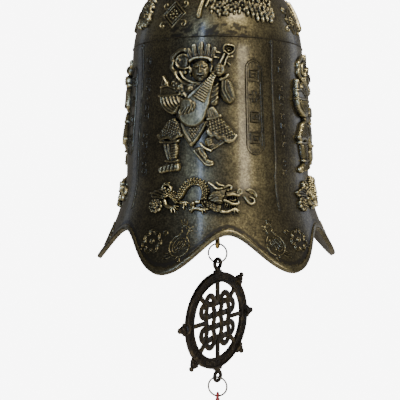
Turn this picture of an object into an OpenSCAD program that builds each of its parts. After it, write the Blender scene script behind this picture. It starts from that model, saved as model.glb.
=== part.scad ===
// Temple bell: a cast brass bell with a six-lobed mouth, hung by the eye on its crown, with a
// swinging clapper and a wheel-shaped wind catcher and tassel linked below the clapper.
// Frame: the origin is the centre of the hanging eye's bore, +Z is up, and the front panel faces -Y.
// Angles round the bell are measured from the front (-Y) towards +X. Depths are measured down
// from the flat crown.

/* [Bell] */
// Height from the flat crown to the lobe tips
bell_h = 143.6; // [125:0.5:180]
// Width across opposite lobe tips
mouth_d = 123; // [112:1:150]
// Width where the dome meets the panels
shoulder_d = 87.6; // [76:0.2:90]
// Width where the skirt starts to flare
waist_d = 93.6; // [88:0.2:104]
// Wall thickness
wall = 2.6; // [1.8:0.1:3.4]
// Flat on the crown, across
crown_d = 26; // [24:1:34]
// Height of the domed shoulder
dome_h = 43.5; // [34:0.5:52]
// Height of the flared skirt
skirt_h = 42.2; // [34:0.1:50]
// How far the valleys of the lip rise above the lobe tips
scallop = 16.8; // [8:0.2:20]
// Share of the flare that the valleys lack
valley_dip = 0; // [0:0.05:0.5]
// Width of the raised bead along the lip
bead_w = 2.6; // [1.5:0.1:4]
// How far the bead stands out
bead_h = 0.7; // [0.3:0.1:1.2]

/* [Reliefs] */
// Height of the guardian figures
figure_h = 59.4; // [45:0.2:62]
// Height of the dragon friezes
frieze_h = 15; // [10:0.2:18]
// How far the reliefs stand out of the wall
relief_h = 3; // [1.5:0.1:4]
// Solder line between a relief and the wall
solder_gap = 0.12; // [0.08:0.01:0.3]

/* [Crown] */
// Bore of the hanging eye
eye_bore_d = 10; // [7:0.5:12]
// Width of the hanging eye along its bore
eye_w = 6; // [4:0.5:9]
// Radial thickness of the hanging eye
eye_t = 4; // [3:0.5:6]
// Height of the eye's centre above the crown
eye_rise = 16; // [14:0.5:24]
// Stud that holds the hanging eye on the bell
stud_d = 5; // [4:0.5:6]
// Radial clearance of the stud in the crown's hole
stud_gap = 0.2; // [0.1:0.05:0.4]

/* [Clapper] */
// Ball of the clapper
ball_d = 19; // [12:0.5:24]
// Height of the ball's centre above the lobe tips
ball_rise = 21.4; // [15:0.2:40]
// Rod of the clapper
rod_d = 2.4; // [1.8:0.1:3.2]
// Wire of the link that carries the clapper
link_wire_d = 1.6; // [1.2:0.1:2.2]
// Middle radius of that link
link_r = 5; // [4.5:0.1:7]
// How far below the lobe tips the ring on the clapper starts, which is negative inside the mouth
clapper_end = -6; // [-12:0.25:10]

/* [Wind catcher] */
// Outer width of the wheel
wheel_d = 49.6; // [40:0.2:60]
// Inner width of the wheel's band
wheel_bore = 39; // [30:0.2:40]
// Thickness of the wheel
wheel_t = 2.6; // [2:0.1:4]
// Thickness of the knot inside the wheel
knot_t = 1.9; // [1.2:0.1:3]
// Width of the knot's straps
strap_w = 3.2; // [1.6:0.1:3.6]
// From the upper ring's wire to the lower ring's wire
catcher_h = 59.6; // [58:0.2:78]
// Turn of the wheel about the vertical from the X axis
catcher_turn = 61; // [45:1:90]
// Wire of the rings above and below the wheel
ring_wire_d = 0.9; // [0.7:0.1:1.2]
// Middle radius of those rings
ring_r = 4.85; // [4.4:0.05:6]

/* [Tassel] */
// Thickness of the red cord
cord_d = 1.4; // [1:0.1:2]
// Height of the bound head
head_h = 9; // [6:0.5:14]
// Width of the bound head
head_d = 7; // [5:0.5:10]
// Length of the threads
skirt_l = 46; // [30:1:60]
// Width of the threads at their lower end
skirt_d = 13; // [9:0.5:18]

/* [Hidden] */
$fn = 64;

lobes = 6;
lobe_turn = 45;         // angle of one lobe tip
lobe_power = 0.95;      // under 1 makes the lobes broader than the valleys
flare_power = 1.6;      // how late the skirt's flare opens
panels = 4;
sides = 72;             // flats round the bell, 12 to each lobe
side_turn = 360 / sides; // the reliefs' own flats line up with these
dome_rows = 9;
body_rows = 5;
skirt_rows = 12;
hook_gap = 0.35;        // clearance between a wire and the eye that it hangs in

crown_r = crown_d / 2;
shoulder_r = shoulder_d / 2;
waist_r = waist_d / 2;
flare = mouth_d / 2 - waist_r;
waist_s = bell_h - skirt_h;
crown_z = -eye_rise;

// The wall's outer surface: radius at depth s and angle a
function lobe(a) = pow((1 + cos(lobes * (a - lobe_turn))) / 2, lobe_power);
function edge_s(a) = bell_h - scallop * (1 - lobe(a));
function dome_radius(s) = crown_r + (shoulder_r - crown_r) * sqrt(1 - pow((dome_h - s) / dome_h, 2));
function body_radius(s) = shoulder_r
    + (waist_r - shoulder_r) * (1 - cos(180 * (s - dome_h) / (waist_s - dome_h))) / 2;
function skirt_radius(s, a) = waist_r
    + flare * pow((s - waist_s) / skirt_h, flare_power) * (1 - valley_dip * (1 - lobe(a)));
function wall_radius(s, a) = s <= dome_h ? dome_radius(s)
    : s <= waist_s ? body_radius(s) : skirt_radius(s, a);

// Unit normal of the wall in its own radial plane, as [radial, downward]
function wall_normal(s, a) = let (
        d = 0.2, low = max(s - d, 0), high = s + d,
        run = wall_radius(high, a) - wall_radius(low, a), drop = high - low,
        long = norm([run, drop])
    ) [drop / long, -run / long];

// A point that stands off the wall by a distance along its normal
function off_wall(s, a, off) = let (
        n = wall_normal(s, a), r = wall_radius(s, a) + off * n[0]
    ) [r * sin(a), -r * cos(a), crown_z - s - off * n[1]];

// Depths of the rows from the crown's edge to the lip, with extra rows for the bead's two sides
bead_step = 0.5;
function row_depth(i, a) = let (
        j = i - dome_rows, k = j - body_rows, plain = edge_s(a) - bead_w - bead_step
    ) i <= dome_rows ? dome_h * (1 - cos(90 * i / dome_rows))
    : j <= body_rows ? dome_h + (waist_s - dome_h) * j / body_rows
    : k <= skirt_rows ? waist_s + (plain - waist_s) * k / skirt_rows
    : k == skirt_rows + 1 ? edge_s(a) - bead_w
    : k == skirt_rows + 2 ? edge_s(a) - bead_step : edge_s(a);
rows = dome_rows + body_rows + skirt_rows + 3;
function row_off(i) = (i == rows - 2 || i == rows - 1) ? bead_h : 0;

pilot_r = stud_d / 4;   // the skins start at this radius, inside the bored hole
function shell_ring(i, off, z_off) = [for (k = [0 : sides - 1]) let (a = 360 * k / sides)
    i < 0 ? [pilot_r * sin(a), -pilot_r * cos(a), crown_z + z_off]
    : off_wall(row_depth(i, a), a, off == 0 ? row_off(i) : off)];

module bell_shell() {
    outer = [for (i = [-1 : rows]) each shell_ring(i, 0, 0)];
    inner = [for (i = [rows : -1 : -1]) each shell_ring(i, -wall, -wall)];
    points = concat(outer, inner);
    bands = len(points) / sides;
    faces = [for (b = [0 : bands - 1], k = [0 : sides - 1]) let (
            n = (b + 1) % bands, j = (k + 1) % sides,
            p = b * sides + k, q = b * sides + j, r = n * sides + j, t = n * sides + k
        ) each [[p, t, r], [p, r, q]]];
    color("#6b5d33") difference() {
        polyhedron(points, faces, convexity = 8);
        translate([0, 0, crown_z - 2 * wall]) cylinder(h = 4 * wall, r = stud_d / 2 + stud_gap);
    }
}

// A solid that follows the wall over a window of angles and depths
module wall_patch(a0, a1, s0, s1, off0, off1, across, down) {
    grid = [for (off = [off0, off1], i = [0 : down], j = [0 : across])
        off_wall(s0 + (s1 - s0) * i / down, a0 + (a1 - a0) * j / across, off)];
    w = across + 1;
    half = w * (down + 1);
    function cell(i, j, base, flip) = let (p = base + i * w + j)
        flip ? [[p, p + w, p + 1], [p + 1, p + w, p + w + 1]] : [[p, p + 1, p + w], [p + 1, p + w + 1, p + w]];
    function side(p, q) = [[p, p + half, q], [q, p + half, q + half]];
    faces = concat(
        [for (i = [0 : down - 1], j = [0 : across - 1]) each cell(i, j, 0, true)],
        [for (i = [0 : down - 1], j = [0 : across - 1]) each cell(i, j, half, false)],
        [for (j = [0 : across - 1]) each side(j, j + 1)],
        [for (j = [0 : across - 1]) each side(down * w + j + 1, down * w + j)],
        [for (i = [0 : down - 1]) each side((i + 1) * w, i * w)],
        [for (i = [0 : down - 1]) each side(i * w + across, (i + 1) * w + across)]);
    polyhedron(grid, faces, convexity = 4);
}

// Outline of a guardian figure in shares of its height, from its centre, x to the right, y up
figure_outline = [[-0.20, -0.50], [-0.30, -0.47], [-0.31, -0.42], [-0.24, -0.38], [-0.30, -0.20], [-0.31, -0.10],
    [-0.24, 0.02], [-0.31, 0.12], [-0.32, 0.27], [-0.24, 0.30], [-0.26, 0.42], [-0.16, 0.47], [-0.02, 0.50],
    [0.07, 0.47], [0.12, 0.44], [0.17, 0.49], [0.24, 0.47], [0.23, 0.34], [0.19, 0.28], [0.25, 0.17],
    [0.24, 0.08], [0.18, 0.05], [0.16, 0.00], [0.26, -0.10], [0.27, -0.20], [0.15, -0.27], [0.12, -0.42],
    [0.05, -0.45], [-0.03, -0.36], [-0.10, -0.26], [-0.13, -0.36], [-0.12, -0.47]];
figure_reach = 25;                       // half the window of angles that a figure needs
figure_top = 41.3;                       // depth of the top of a figure
figure_mid_z = crown_z - figure_top - figure_h / 2;

// A relief cut from a patch of the wall by an outline pressed in from the front
module guardian(turn) {
    rotate([0, 0, turn]) intersection() {
        wall_patch(-figure_reach, figure_reach, figure_top, figure_top + figure_h,
            solder_gap, relief_h, 2 * figure_reach / side_turn, 8);
        translate([0, 0, figure_mid_z]) rotate([90, 0, 0])
            linear_extrude(waist_d) polygon(figure_outline * figure_h);
    }
}
module lute_guardian() { color("#8a7a45") guardian(0); }
module sword_guardian() { color("#8a7a45") guardian(90); }
module parasol_guardian() { color("#8a7a45") guardian(180); }
module pearl_guardian() { color("#8a7a45") guardian(270); }

// Each dragon is a long strip on the start of the skirt, below its guardian
frieze_gap = 2.2;                        // between a guardian's feet and the dragon below
frieze_top = figure_top + figure_h + frieze_gap;
frieze_reach = 35;                       // half the window of angles that a dragon needs
module dragon_friezes() {
    color("#7d6e40") for (i = [0 : panels - 1]) let (middle = 360 * i / panels)
        wall_patch(middle - frieze_reach, middle + frieze_reach, frieze_top, frieze_top + frieze_h,
            solder_gap, relief_h * 0.8, 2 * frieze_reach / side_turn, 6);
}

// A wreath of cast curls lies round the shoulder, above the panels
wreath_top = 5;
wreath_h = 26;
wreath_rows = 16;
module shoulder_wreath() {
    depths = [for (i = [0 : wreath_rows]) wreath_top + wreath_h * i / wreath_rows];
    seat = [for (s = depths) let (p = off_wall(s, 90, solder_gap)) [p[0], p[2]]];
    crest = [for (i = [wreath_rows : -1 : 0]) let (p = off_wall(depths[i], 90, relief_h * 0.6)) [p[0], p[2]]];
    color("#7d6e40") rotate_extrude($fn = 96) polygon(concat(seat, crest));
}

// Crown fittings, from the outside in
flange_t = 3;
eye_r = eye_bore_d / 2;
washer_t = 1.2;
nut_t = 4;
stud_end = wall + washer_t + nut_t + 4;  // below the flange's seat
nut_gap = 0.4;                           // between the lock nut and the eye nut
barrel_t = 5.2;
module crown_loop() {
    chamfer = 1.2;
    color("#7d6e40") {
        rotate([90, 0, 0]) rotate_extrude() polygon([[eye_r, -eye_w / 2], [eye_r + eye_t - chamfer, -eye_w / 2],
            [eye_r + eye_t, -eye_w / 2 + chamfer], [eye_r + eye_t, eye_w / 2 - chamfer],
            [eye_r + eye_t - chamfer, eye_w / 2], [eye_r, eye_w / 2]]);
        translate([0, 0, crown_z]) rotate_extrude() polygon([[0, -stud_end], [stud_d / 2, -stud_end], [stud_d / 2, 0],
            [crown_r - 1, 0], [crown_r - 1, flange_t * 0.6], [crown_r - 3, flange_t], [eye_w * 0.8, flange_t + 1],
            [eye_w / 2 - 0.2, eye_rise - eye_r - eye_t + 0.8], [0, eye_rise - eye_r - eye_t + 0.8]]);
    }
}
module crown_washer() {
    color("silver") translate([0, 0, crown_z - wall - washer_t]) difference() {
        cylinder(h = washer_t, d = stud_d * 2.6);
        translate([0, 0, -1]) cylinder(h = washer_t + 2, d = stud_d + 0.6);
    }
}
module crown_nut() {
    color("silver") translate([0, 0, crown_z - wall - washer_t - nut_t]) difference() {
        cylinder(h = nut_t, d = stud_d * 1.85, $fn = 6);
        translate([0, 0, -1]) cylinder(h = nut_t + 2, d = stud_d + 0.06);
    }
}

// Wire eye in the YZ plane, with its bore along X
module eye(middle_r, tube_r) {
    rotate([0, 90, 0]) rotate_extrude() translate([middle_r, 0]) circle(r = tube_r);
}
// Wire ring in the XZ plane, with its bore along Y
module ring(middle_r, tube_r) {
    rotate([90, 0, 0]) rotate_extrude() translate([middle_r, 0]) circle(r = tube_r, $fn = 32);
}

barrel_z = crown_z - wall - washer_t - nut_t - nut_gap - barrel_t;
hook_r = 3.1;                            // the eye nut's eye
hook_tube_r = 1.2;
module eye_nut() {
    bore_h = 4;
    color("#a08f58") {
        translate([0, 0, barrel_z]) difference() {
            cylinder(h = barrel_t, d = stud_d + 3.4);
            translate([0, 0, barrel_t - bore_h]) cylinder(h = bore_h + 1, d = stud_d + 0.06);
        }
        translate([0, 0, barrel_z - hook_r - hook_tube_r + 0.9]) eye(hook_r, hook_tube_r);
    }
}

// Where each wire hangs in the eye above it: the pivots of the joints
link_wire_r = link_wire_d / 2;
ring_wire_r = ring_wire_d / 2;
pivot_link = barrel_z - 2 * hook_r - hook_tube_r + 0.9 + hook_tube_r + link_wire_r + hook_gap;
pivot_clapper = pivot_link - 2 * link_r;
tips_z = crown_z - bell_h;
pivot_upper_ring = tips_z - clapper_end;
pivot_catcher = pivot_upper_ring - 2 * ring_r;
pivot_lower_ring = pivot_catcher - catcher_h;
pivot_tassel = pivot_lower_ring - 2 * ring_r;

module clapper_link() {
    color("#a08f58") translate([0, 0, pivot_link - link_r]) ring(link_r, link_wire_r);
}

// The rod has a bent eye at each end
top_eye_r = 2.6;
end_eye_r = 2.2;
top_tube_r = 1;
end_tube_r = 0.9;
ball_z = tips_z + ball_rise;
module clapper_rod() {
    top_eye_z = pivot_clapper + link_wire_r + top_tube_r + hook_gap - top_eye_r;
    end_eye_z = pivot_upper_ring - ring_wire_r - end_tube_r - hook_gap + end_eye_r;
    low = end_eye_z + end_eye_r;
    color("#a08f58") {
        translate([0, 0, top_eye_z]) eye(top_eye_r, top_tube_r);
        translate([0, 0, low]) cylinder(h = top_eye_z - top_eye_r - low, d = rod_d);
        translate([0, 0, end_eye_z]) eye(end_eye_r, end_tube_r);
    }
}
ball_fit = 0.02;
module clapper_ball() {
    color("#6b5d33") translate([0, 0, ball_z]) difference() {
        sphere(d = ball_d);
        translate([0, 0, -ball_d]) cylinder(h = 2 * ball_d, r = rod_d / 2 + ball_fit);
    }
}
module ball_collar() {
    collar_h = 2.4;
    color("#a08f58") translate([0, 0, ball_z - ball_d / 2 - collar_h]) difference() {
        cylinder(h = collar_h, d = rod_d + 2.8);
        translate([0, 0, -1]) cylinder(h = collar_h + 2, r = rod_d / 2 + ball_fit);
    }
}
module upper_ring() {
    color("dimgray") translate([0, 0, pivot_upper_ring - ring_r]) ring(ring_r, ring_wire_r);
}
module lower_ring() {
    color("dimgray") translate([0, 0, pivot_lower_ring - ring_r]) ring(ring_r, ring_wire_r);
}

// The wind catcher: a flat ship's-wheel casting with an endless knot inside its band.
// It is drawn upright in the XZ plane and then turned about the vertical.
catcher_eye_r = 2.4;
catcher_tube_r = 1;
wheel_r = wheel_d / 2;
band_r = wheel_bore / 2;
finial_turns = [45, 90, 135, 225, 270];  // clockwise from the top; the sixth finial is missing
module catcher_end() {
    // One eye, its stem and its root on the rim, drawn above the wheel's centre
    eye_z = catcher_h / 2 + ring_wire_r + catcher_tube_r + hook_gap - catcher_eye_r;
    translate([0, 0, eye_z]) rotate([0, 0, 90]) eye(catcher_eye_r, catcher_tube_r);
    translate([-1.5, -1.1, wheel_r - 1]) cube([3, 2.2, eye_z - catcher_eye_r - wheel_r + 1]);
    translate([-2.4, -1.2, wheel_r - 1]) cube([4.8, 2.4, 2.2]);
}
module finial() {
    translate([0, 0, wheel_r - 0.6]) cylinder(h = 2.4, r1 = 2.5, r2 = 1.7);
    translate([0, 0, wheel_r + 2.4]) sphere(r = 1.75, $fn = 32);
    translate([0, 0, wheel_r + 4.5]) sphere(r = 1.3, $fn = 32);
}
knot_pitch = 6;                          // between the middles of neighbouring straps
module knot_plan() {
    // Three straps each way, laid square, with loops round the outside and arms to the band
    reach = 1.5 * knot_pitch + strap_w / 2;
    arm = band_r + 0.6;
    loop_r = knot_pitch / 2;
    for (q = [0 : 3]) rotate(90 * q) {
        for (i = [-1.5, -0.5, 0.5, 1.5])
            translate([i * knot_pitch - strap_w / 2, -reach]) square([strap_w, 2 * reach]);
        for (i = [-1, 1]) translate([i * knot_pitch, 1.5 * knot_pitch]) difference() {
            translate([0, loop_r * 0.4]) circle(r = loop_r + strap_w / 2);
            translate([0, loop_r * 0.4]) circle(r = loop_r - strap_w / 2 + 0.2);
        }
        translate([-strap_w / 2, reach - 1]) square([strap_w, arm - reach + 1]);
        rotate(45) translate([-strap_w / 2, reach * sqrt(2) - 1.6]) square([strap_w, arm - reach * sqrt(2) + 1.6]);
    }
}
module wind_catcher() {
    lip_w = 1.1;
    lip_h = 0.35;
    color("#3a3024") translate([0, 0, pivot_catcher - catcher_h / 2]) rotate([0, 0, catcher_turn]) {
        rotate([90, 0, 0]) rotate_extrude($fn = 96) {
            translate([band_r, -wheel_t / 2 + lip_h]) square([wheel_r - band_r, wheel_t - 2 * lip_h]);
            translate([band_r, -wheel_t / 2]) square([lip_w, wheel_t]);
            translate([wheel_r - lip_w, -wheel_t / 2]) square([lip_w, wheel_t]);
        }
        rotate([90, 0, 0]) translate([0, 0, -knot_t / 2]) linear_extrude(knot_t) knot_plan();
        for (turn = finial_turns) rotate([0, turn, 0]) finial();
        catcher_end();
        rotate([180, 0, 0]) catcher_end();
    }
}

// The red cord hangs straight down from its hitch on the lower ring
cord_r = cord_d / 2;
hitch_tube_r = cord_r * 0.9;             // the loop's cord is pulled thinner
hitch_r = ring_wire_r + hitch_tube_r + 0.32;
hitch_h = 3;
cord_sides = 8;
cord_top = pivot_tassel - hitch_r - hitch_h;
cord_route = [[0, 0, -237], [0, 0, -239], [0, 0, -241], [0, 0, -243], [0, 0, -245], [0, 0, -247],
    [0, 0, -249], [0, 0, -251], [0, 0, -253], [0, 0, -255], [0, 0, -257], [0, 0, -259],
    [0, 0, -261], [0, 0, -263], [0, 0, -265], [0, 0, -267]];
module cord_hitch() {
    color("#8c0f14") {
        translate([0, 0, pivot_tassel]) eye(hitch_r, hitch_tube_r);
        translate([0, 0, cord_top]) cylinder(h = hitch_h, r = cord_r * 1.7, $fn = 32);
    }
}
module tassel_cord() {
    last = len(cord_route) - 1;
    points = [for (p = cord_route, k = [0 : cord_sides - 1]) let (a = 360 * k / cord_sides)
        p + [cord_r * cos(a), cord_r * sin(a), 0]];
    walls = [for (i = [0 : last - 1], k = [0 : cord_sides - 1]) let (
            p = i * cord_sides + k, q = i * cord_sides + (k + 1) % cord_sides
        ) [p, q, q + cord_sides, p + cord_sides]];
    ends = [[for (k = [cord_sides - 1 : -1 : 0]) k],
        [for (k = [0 : cord_sides - 1]) last * cord_sides + k]];
    color("#8c0f14") polyhedron(points, concat(walls, ends));
}
head_z = cord_route[len(cord_route) - 1][2];
module tassel_head() {
    color("#8c0f14") translate([0, 0, head_z]) rotate_extrude() polygon([[0, 0], [head_d * 0.28, 0],
        [head_d * 0.45, -head_h * 0.2], [head_d / 2, -head_h * 0.45], [head_d * 0.36, -head_h * 0.75],
        [head_d * 0.42, -head_h], [0, -head_h]]);
}
module tassel_threads() {
    color("#8c0f14") translate([0, 0, head_z - head_h - skirt_l])
        cylinder(h = skirt_l, r1 = skirt_d / 2, r2 = head_d * 0.42);
}

bell_shell();
lute_guardian();
sword_guardian();
parasol_guardian();
pearl_guardian();
dragon_friezes();
shoulder_wreath();
crown_loop();
crown_washer();
crown_nut();
eye_nut();
clapper_link();
clapper_rod();
clapper_ball();
ball_collar();
upper_ring();
wind_catcher();
lower_ring();
cord_hitch();
tassel_cord();
tassel_head();
tassel_threads();
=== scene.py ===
import math
import bmesh
import bpy
import numpy as np
from mathutils import Matrix, Vector


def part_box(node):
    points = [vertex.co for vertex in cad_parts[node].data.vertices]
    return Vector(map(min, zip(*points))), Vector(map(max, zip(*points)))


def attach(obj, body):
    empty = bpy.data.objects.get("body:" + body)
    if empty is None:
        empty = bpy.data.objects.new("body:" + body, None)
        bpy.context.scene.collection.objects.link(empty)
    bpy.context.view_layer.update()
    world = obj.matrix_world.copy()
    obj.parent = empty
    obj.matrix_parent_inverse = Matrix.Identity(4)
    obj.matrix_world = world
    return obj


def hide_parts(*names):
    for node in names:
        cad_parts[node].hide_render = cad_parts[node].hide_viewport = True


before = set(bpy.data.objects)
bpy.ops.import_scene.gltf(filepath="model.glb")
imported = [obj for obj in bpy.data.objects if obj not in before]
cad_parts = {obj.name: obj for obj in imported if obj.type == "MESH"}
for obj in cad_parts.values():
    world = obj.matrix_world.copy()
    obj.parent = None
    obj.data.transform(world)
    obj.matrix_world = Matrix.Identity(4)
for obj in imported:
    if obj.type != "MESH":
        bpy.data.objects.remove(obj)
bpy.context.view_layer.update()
MM = 0.001

# ---------------------------------------------------------------------------
# Camera: level with a point two thirds of the way down the bell and a forearm's length in front of
# it, 10 degrees round towards its right, with the view shifted down and a little to the left.
camera_z = -109 * MM
camera_reach = 343.2 * MM
camera_turn = math.radians(10)
camera_data = bpy.data.cameras.new("camera")
camera_data.sensor_width = 36
camera_data.lens = 59.4
camera_data.shift_x = -0.044
camera_data.shift_y = -0.105
camera_data.clip_start = 0.01
camera = bpy.data.objects.new("camera", camera_data)
camera.location = (camera_reach * math.sin(camera_turn), -camera_reach * math.cos(camera_turn), camera_z)
camera.rotation_euler = (math.radians(90), 0, camera_turn)
bpy.context.collection.objects.link(camera)
bpy.context.scene.camera = camera

# ---------------------------------------------------------------------------
# Red cord and tassel: a twisted polyester cord looped round the lower ring and whipped below it,
# ending in a head bound with wound thread, from which loose twisted threads hang.


def linear(code):
    """An sRGB hex colour as linear RGBA."""
    parts = [int(code[i:i + 2], 16) / 255 for i in (1, 3, 5)]
    return [p / 12.92 if p <= 0.04045 else ((p + 0.055) / 1.055) ** 2.4 for p in parts] + [1]


def add(material, kind, settings=None, links=None):
    """Add a node, set its sockets and properties, and link other nodes' outputs into its sockets."""
    node = material.node_tree.nodes.new(kind)
    for key, value in (settings or {}).items():
        if isinstance(key, str) and hasattr(node, key):
            setattr(node, key, value)
        else:
            node.inputs[key].default_value = value
    for key, source in (links or {}).items():
        material.node_tree.links.new(source, node.inputs[key])
    return node


def new_material(name):
    """A material that holds one principled shader and its output."""
    material = bpy.data.materials.new(name)
    material.use_nodes = True
    material.node_tree.nodes.clear()
    shader = add(material, "ShaderNodeBsdfPrincipled")
    add(material, "ShaderNodeOutputMaterial", links={"Surface": shader.outputs[0]})
    return material, shader


def finish_piece(name, bm, material, body, sharp=35):
    """Turn a bmesh into a piece that rides on a body, smooth but for its sharp edges."""
    mesh = bpy.data.meshes.new(name)
    bm.to_mesh(mesh)
    bm.free()
    mesh.materials.append(material)
    mesh.shade_smooth()
    mesh.set_sharp_from_angle(angle=math.radians(sharp))
    piece = bpy.data.objects.new(name, mesh)
    bpy.context.collection.objects.link(piece)
    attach(piece, body)
    return piece


def take_in(bm, part, matrix=None):
    """Move a finished bmesh into another one, placed by a matrix."""
    if matrix:
        bmesh.ops.transform(part, matrix=matrix, verts=part.verts)
    spare = bpy.data.meshes.new("spare")
    part.to_mesh(spare)
    part.free()
    bm.from_mesh(spare)
    bpy.data.meshes.remove(spare)


def wire_ring(middle_r, wire_r, steps=48, sides=12, sweep=360):
    """A round wire bent about Z. A ring that is open has rounded-off flat ends."""
    bm = bmesh.new()
    section = bmesh.ops.create_circle(bm, segments=sides, radius=wire_r)["verts"]
    stood = Matrix.Translation((middle_r, 0, 0)) @ Matrix.Rotation(math.radians(90), 4, "X")
    bmesh.ops.transform(bm, matrix=stood, verts=section)
    closed = sweep >= 360
    if not closed:
        bmesh.ops.contextual_create(bm, geom=section)
    bmesh.ops.spin(bm, geom=bm.verts[:] + bm.edges[:] + bm.faces[:], cent=(0, 0, 0), axis=(0, 0, 1),
                   dvec=(0, 0, 0), angle=math.radians(sweep), steps=steps, use_merge=closed,
                   use_duplicate=False)
    bmesh.ops.remove_doubles(bm, verts=bm.verts, dist=1e-7)
    bmesh.ops.recalc_face_normals(bm, faces=bm.faces)
    return bm


def turned(profile, steps=64):
    """Spin a profile of (radius, height) points about Z into a closed turned shape."""
    bm = bmesh.new()
    verts = [bm.verts.new((r, 0, z)) for r, z in profile]
    edges = [bm.edges.new(pair) for pair in zip(verts, verts[1:])]
    bmesh.ops.spin(bm, geom=verts + edges, cent=(0, 0, 0), axis=(0, 0, 1), dvec=(0, 0, 0),
                   angle=math.radians(360), steps=steps, use_merge=True, use_duplicate=False)
    bmesh.ops.remove_doubles(bm, verts=bm.verts, dist=1e-6)
    bmesh.ops.recalc_face_normals(bm, faces=bm.faces)
    return bm


about_x = Matrix.Rotation(math.radians(90), 4, "Y")
about_y = Matrix.Rotation(math.radians(90), 4, "X")


def dyed_thread(name, spacing, lean):
    """Dyed polyester: a soft sheen over ridges of twist, as far apart as spacing, that lean across it;
    painted shade darkens the red into the grooves between the ridges.
    """
    material, shader = new_material(name)
    place = add(material, "ShaderNodeTexCoord")
    leant = add(material, "ShaderNodeMapping", {"Rotation": (0, lean, 0)}, {0: place.outputs["Object"]})
    twist = add(material, "ShaderNodeTexWave", {"bands_direction": "Z", "Scale": 0.314 / spacing,
                "Distortion": 0.6}, {0: leant.outputs[0]})
    tone = add(material, "ShaderNodeTexNoise", {"Scale": 700.0, "Detail": 3.0}, {0: place.outputs["Object"]})
    # Painted shade: the red darkens into the grooves of the twist, with random tone mixed in.
    both = add(material, "ShaderNodeMath", {"operation": "MULTIPLY"},
               {0: twist.outputs["Fac"], 1: tone.outputs["Fac"]})
    ramp = add(material, "ShaderNodeValToRGB", links={0: both.outputs[0]})
    ramp.color_ramp.elements[0].color = linear("#4d0408")
    ramp.color_ramp.elements[1].color = linear("#c41c26")
    ramp.color_ramp.elements[1].position = 0.55
    bump = add(material, "ShaderNodeBump", {"Strength": 0.7, "Distance": 0.0002},
               {"Height": twist.outputs["Fac"]})
    material.node_tree.links.new(ramp.outputs[0], shader.inputs["Base Color"])
    material.node_tree.links.new(bump.outputs[0], shader.inputs["Normal"])
    shader.inputs["Roughness"].default_value = 0.55
    shader.inputs["Sheen Weight"].default_value = 0.4
    shader.inputs["Sheen Roughness"].default_value = 0.4
    return material


cord_polyester = dyed_thread("twisted_polyester_cord", 1.0 * MM, math.radians(35))
thread_polyester = dyed_thread("twisted_polyester_thread", 0.7 * MM, math.radians(20))

cord_d = 1.4 * MM
cord_route = [(0, 0, -0.237), (0, 0, -0.239), (0, 0, -0.241), (0, 0, -0.243), (0, 0, -0.245), (0, 0, -0.247),
              (0, 0, -0.249), (0, 0, -0.251), (0, 0, -0.253), (0, 0, -0.255), (0, 0, -0.257), (0, 0, -0.259),
              (0, 0, -0.261), (0, 0, -0.263), (0, 0, -0.265), (0, 0, -0.267)]
cord_curve = bpy.data.curves.new("tassel_cord_red", "CURVE")
cord_curve.dimensions = "3D"
cord_curve.bevel_depth = cord_d / 2
cord_curve.bevel_resolution = 5
spline = cord_curve.splines.new("POLY")
spline.points.add(len(cord_route) - 1)
for point, place in zip(spline.points, cord_route):
    point.co = (*place, 1)
cord_curve.materials.append(cord_polyester)
cord = bpy.data.objects.new("tassel_cord_red", cord_curve)
bpy.context.collection.objects.link(cord)
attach(cord, "tassel")
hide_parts("tassel_cord")

# One turn of the cord round the ring's wire, and five turns of whipping under it.
loop_r = 1.4 * MM
loop_z = cord_route[0][2] + 3 * MM + loop_r
bm = wire_ring(loop_r, 0.63 * MM, steps=32)
bmesh.ops.transform(bm, matrix=Matrix.Translation((0, 0, loop_z)) @ about_x, verts=bm.verts)
for turn in range(5):
    take_in(bm, wire_ring(0.86 * MM, 0.33 * MM, steps=28, sides=8),
            Matrix.Translation((0, 0, loop_z - loop_r - (0.3 + 0.58 * turn) * MM)))
hitch = finish_piece("cord_hitch_whipped", bm, cord_polyester, "tassel")
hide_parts("cord_hitch")

# The head: a turned core with thread wound round its neck and its shoulder.
head_top = cord_route[-1][2]
head_h = 9 * MM
head_r = 3.5 * MM
bm = turned([(0, 0), (0.28 * 2 * head_r, -0.02 * head_h), (0.9 * head_r, -0.2 * head_h),
             (head_r * 0.97, -0.34 * head_h), (head_r * 0.97, -0.5 * head_h),
             (0.86 * head_r, -0.64 * head_h), (0.7 * head_r, -0.74 * head_h),
             (0.72 * head_r, -0.84 * head_h), (0.84 * head_r, -head_h), (0, -head_h)], 48)
for turn in range(6):
    take_in(bm, wire_ring(0.74 * head_r, 0.3 * MM, steps=40, sides=8),
            Matrix.Translation((0, 0, -0.7 * head_h - 0.32 * turn * MM)))
for turn in range(36):
    lobe = bmesh.new()
    bmesh.ops.create_uvsphere(lobe, u_segments=8, v_segments=8, radius=0.28 * MM)
    bmesh.ops.scale(lobe, vec=(1, 0.8, 7.5), verts=lobe.verts)
    take_in(bm, lobe, Matrix.Rotation(math.radians(10 * turn), 4, "Z")
            @ Matrix.Translation((head_r * 0.86, 0, -0.36 * head_h)) @ Matrix.Rotation(math.radians(6), 4,
                                                                                       "Y"))
bmesh.ops.translate(bm, vec=(0, 0, head_top), verts=bm.verts)
head = finish_piece("tassel_head_bound", bm, thread_polyester, "tassel")
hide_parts("tassel_head")

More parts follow.
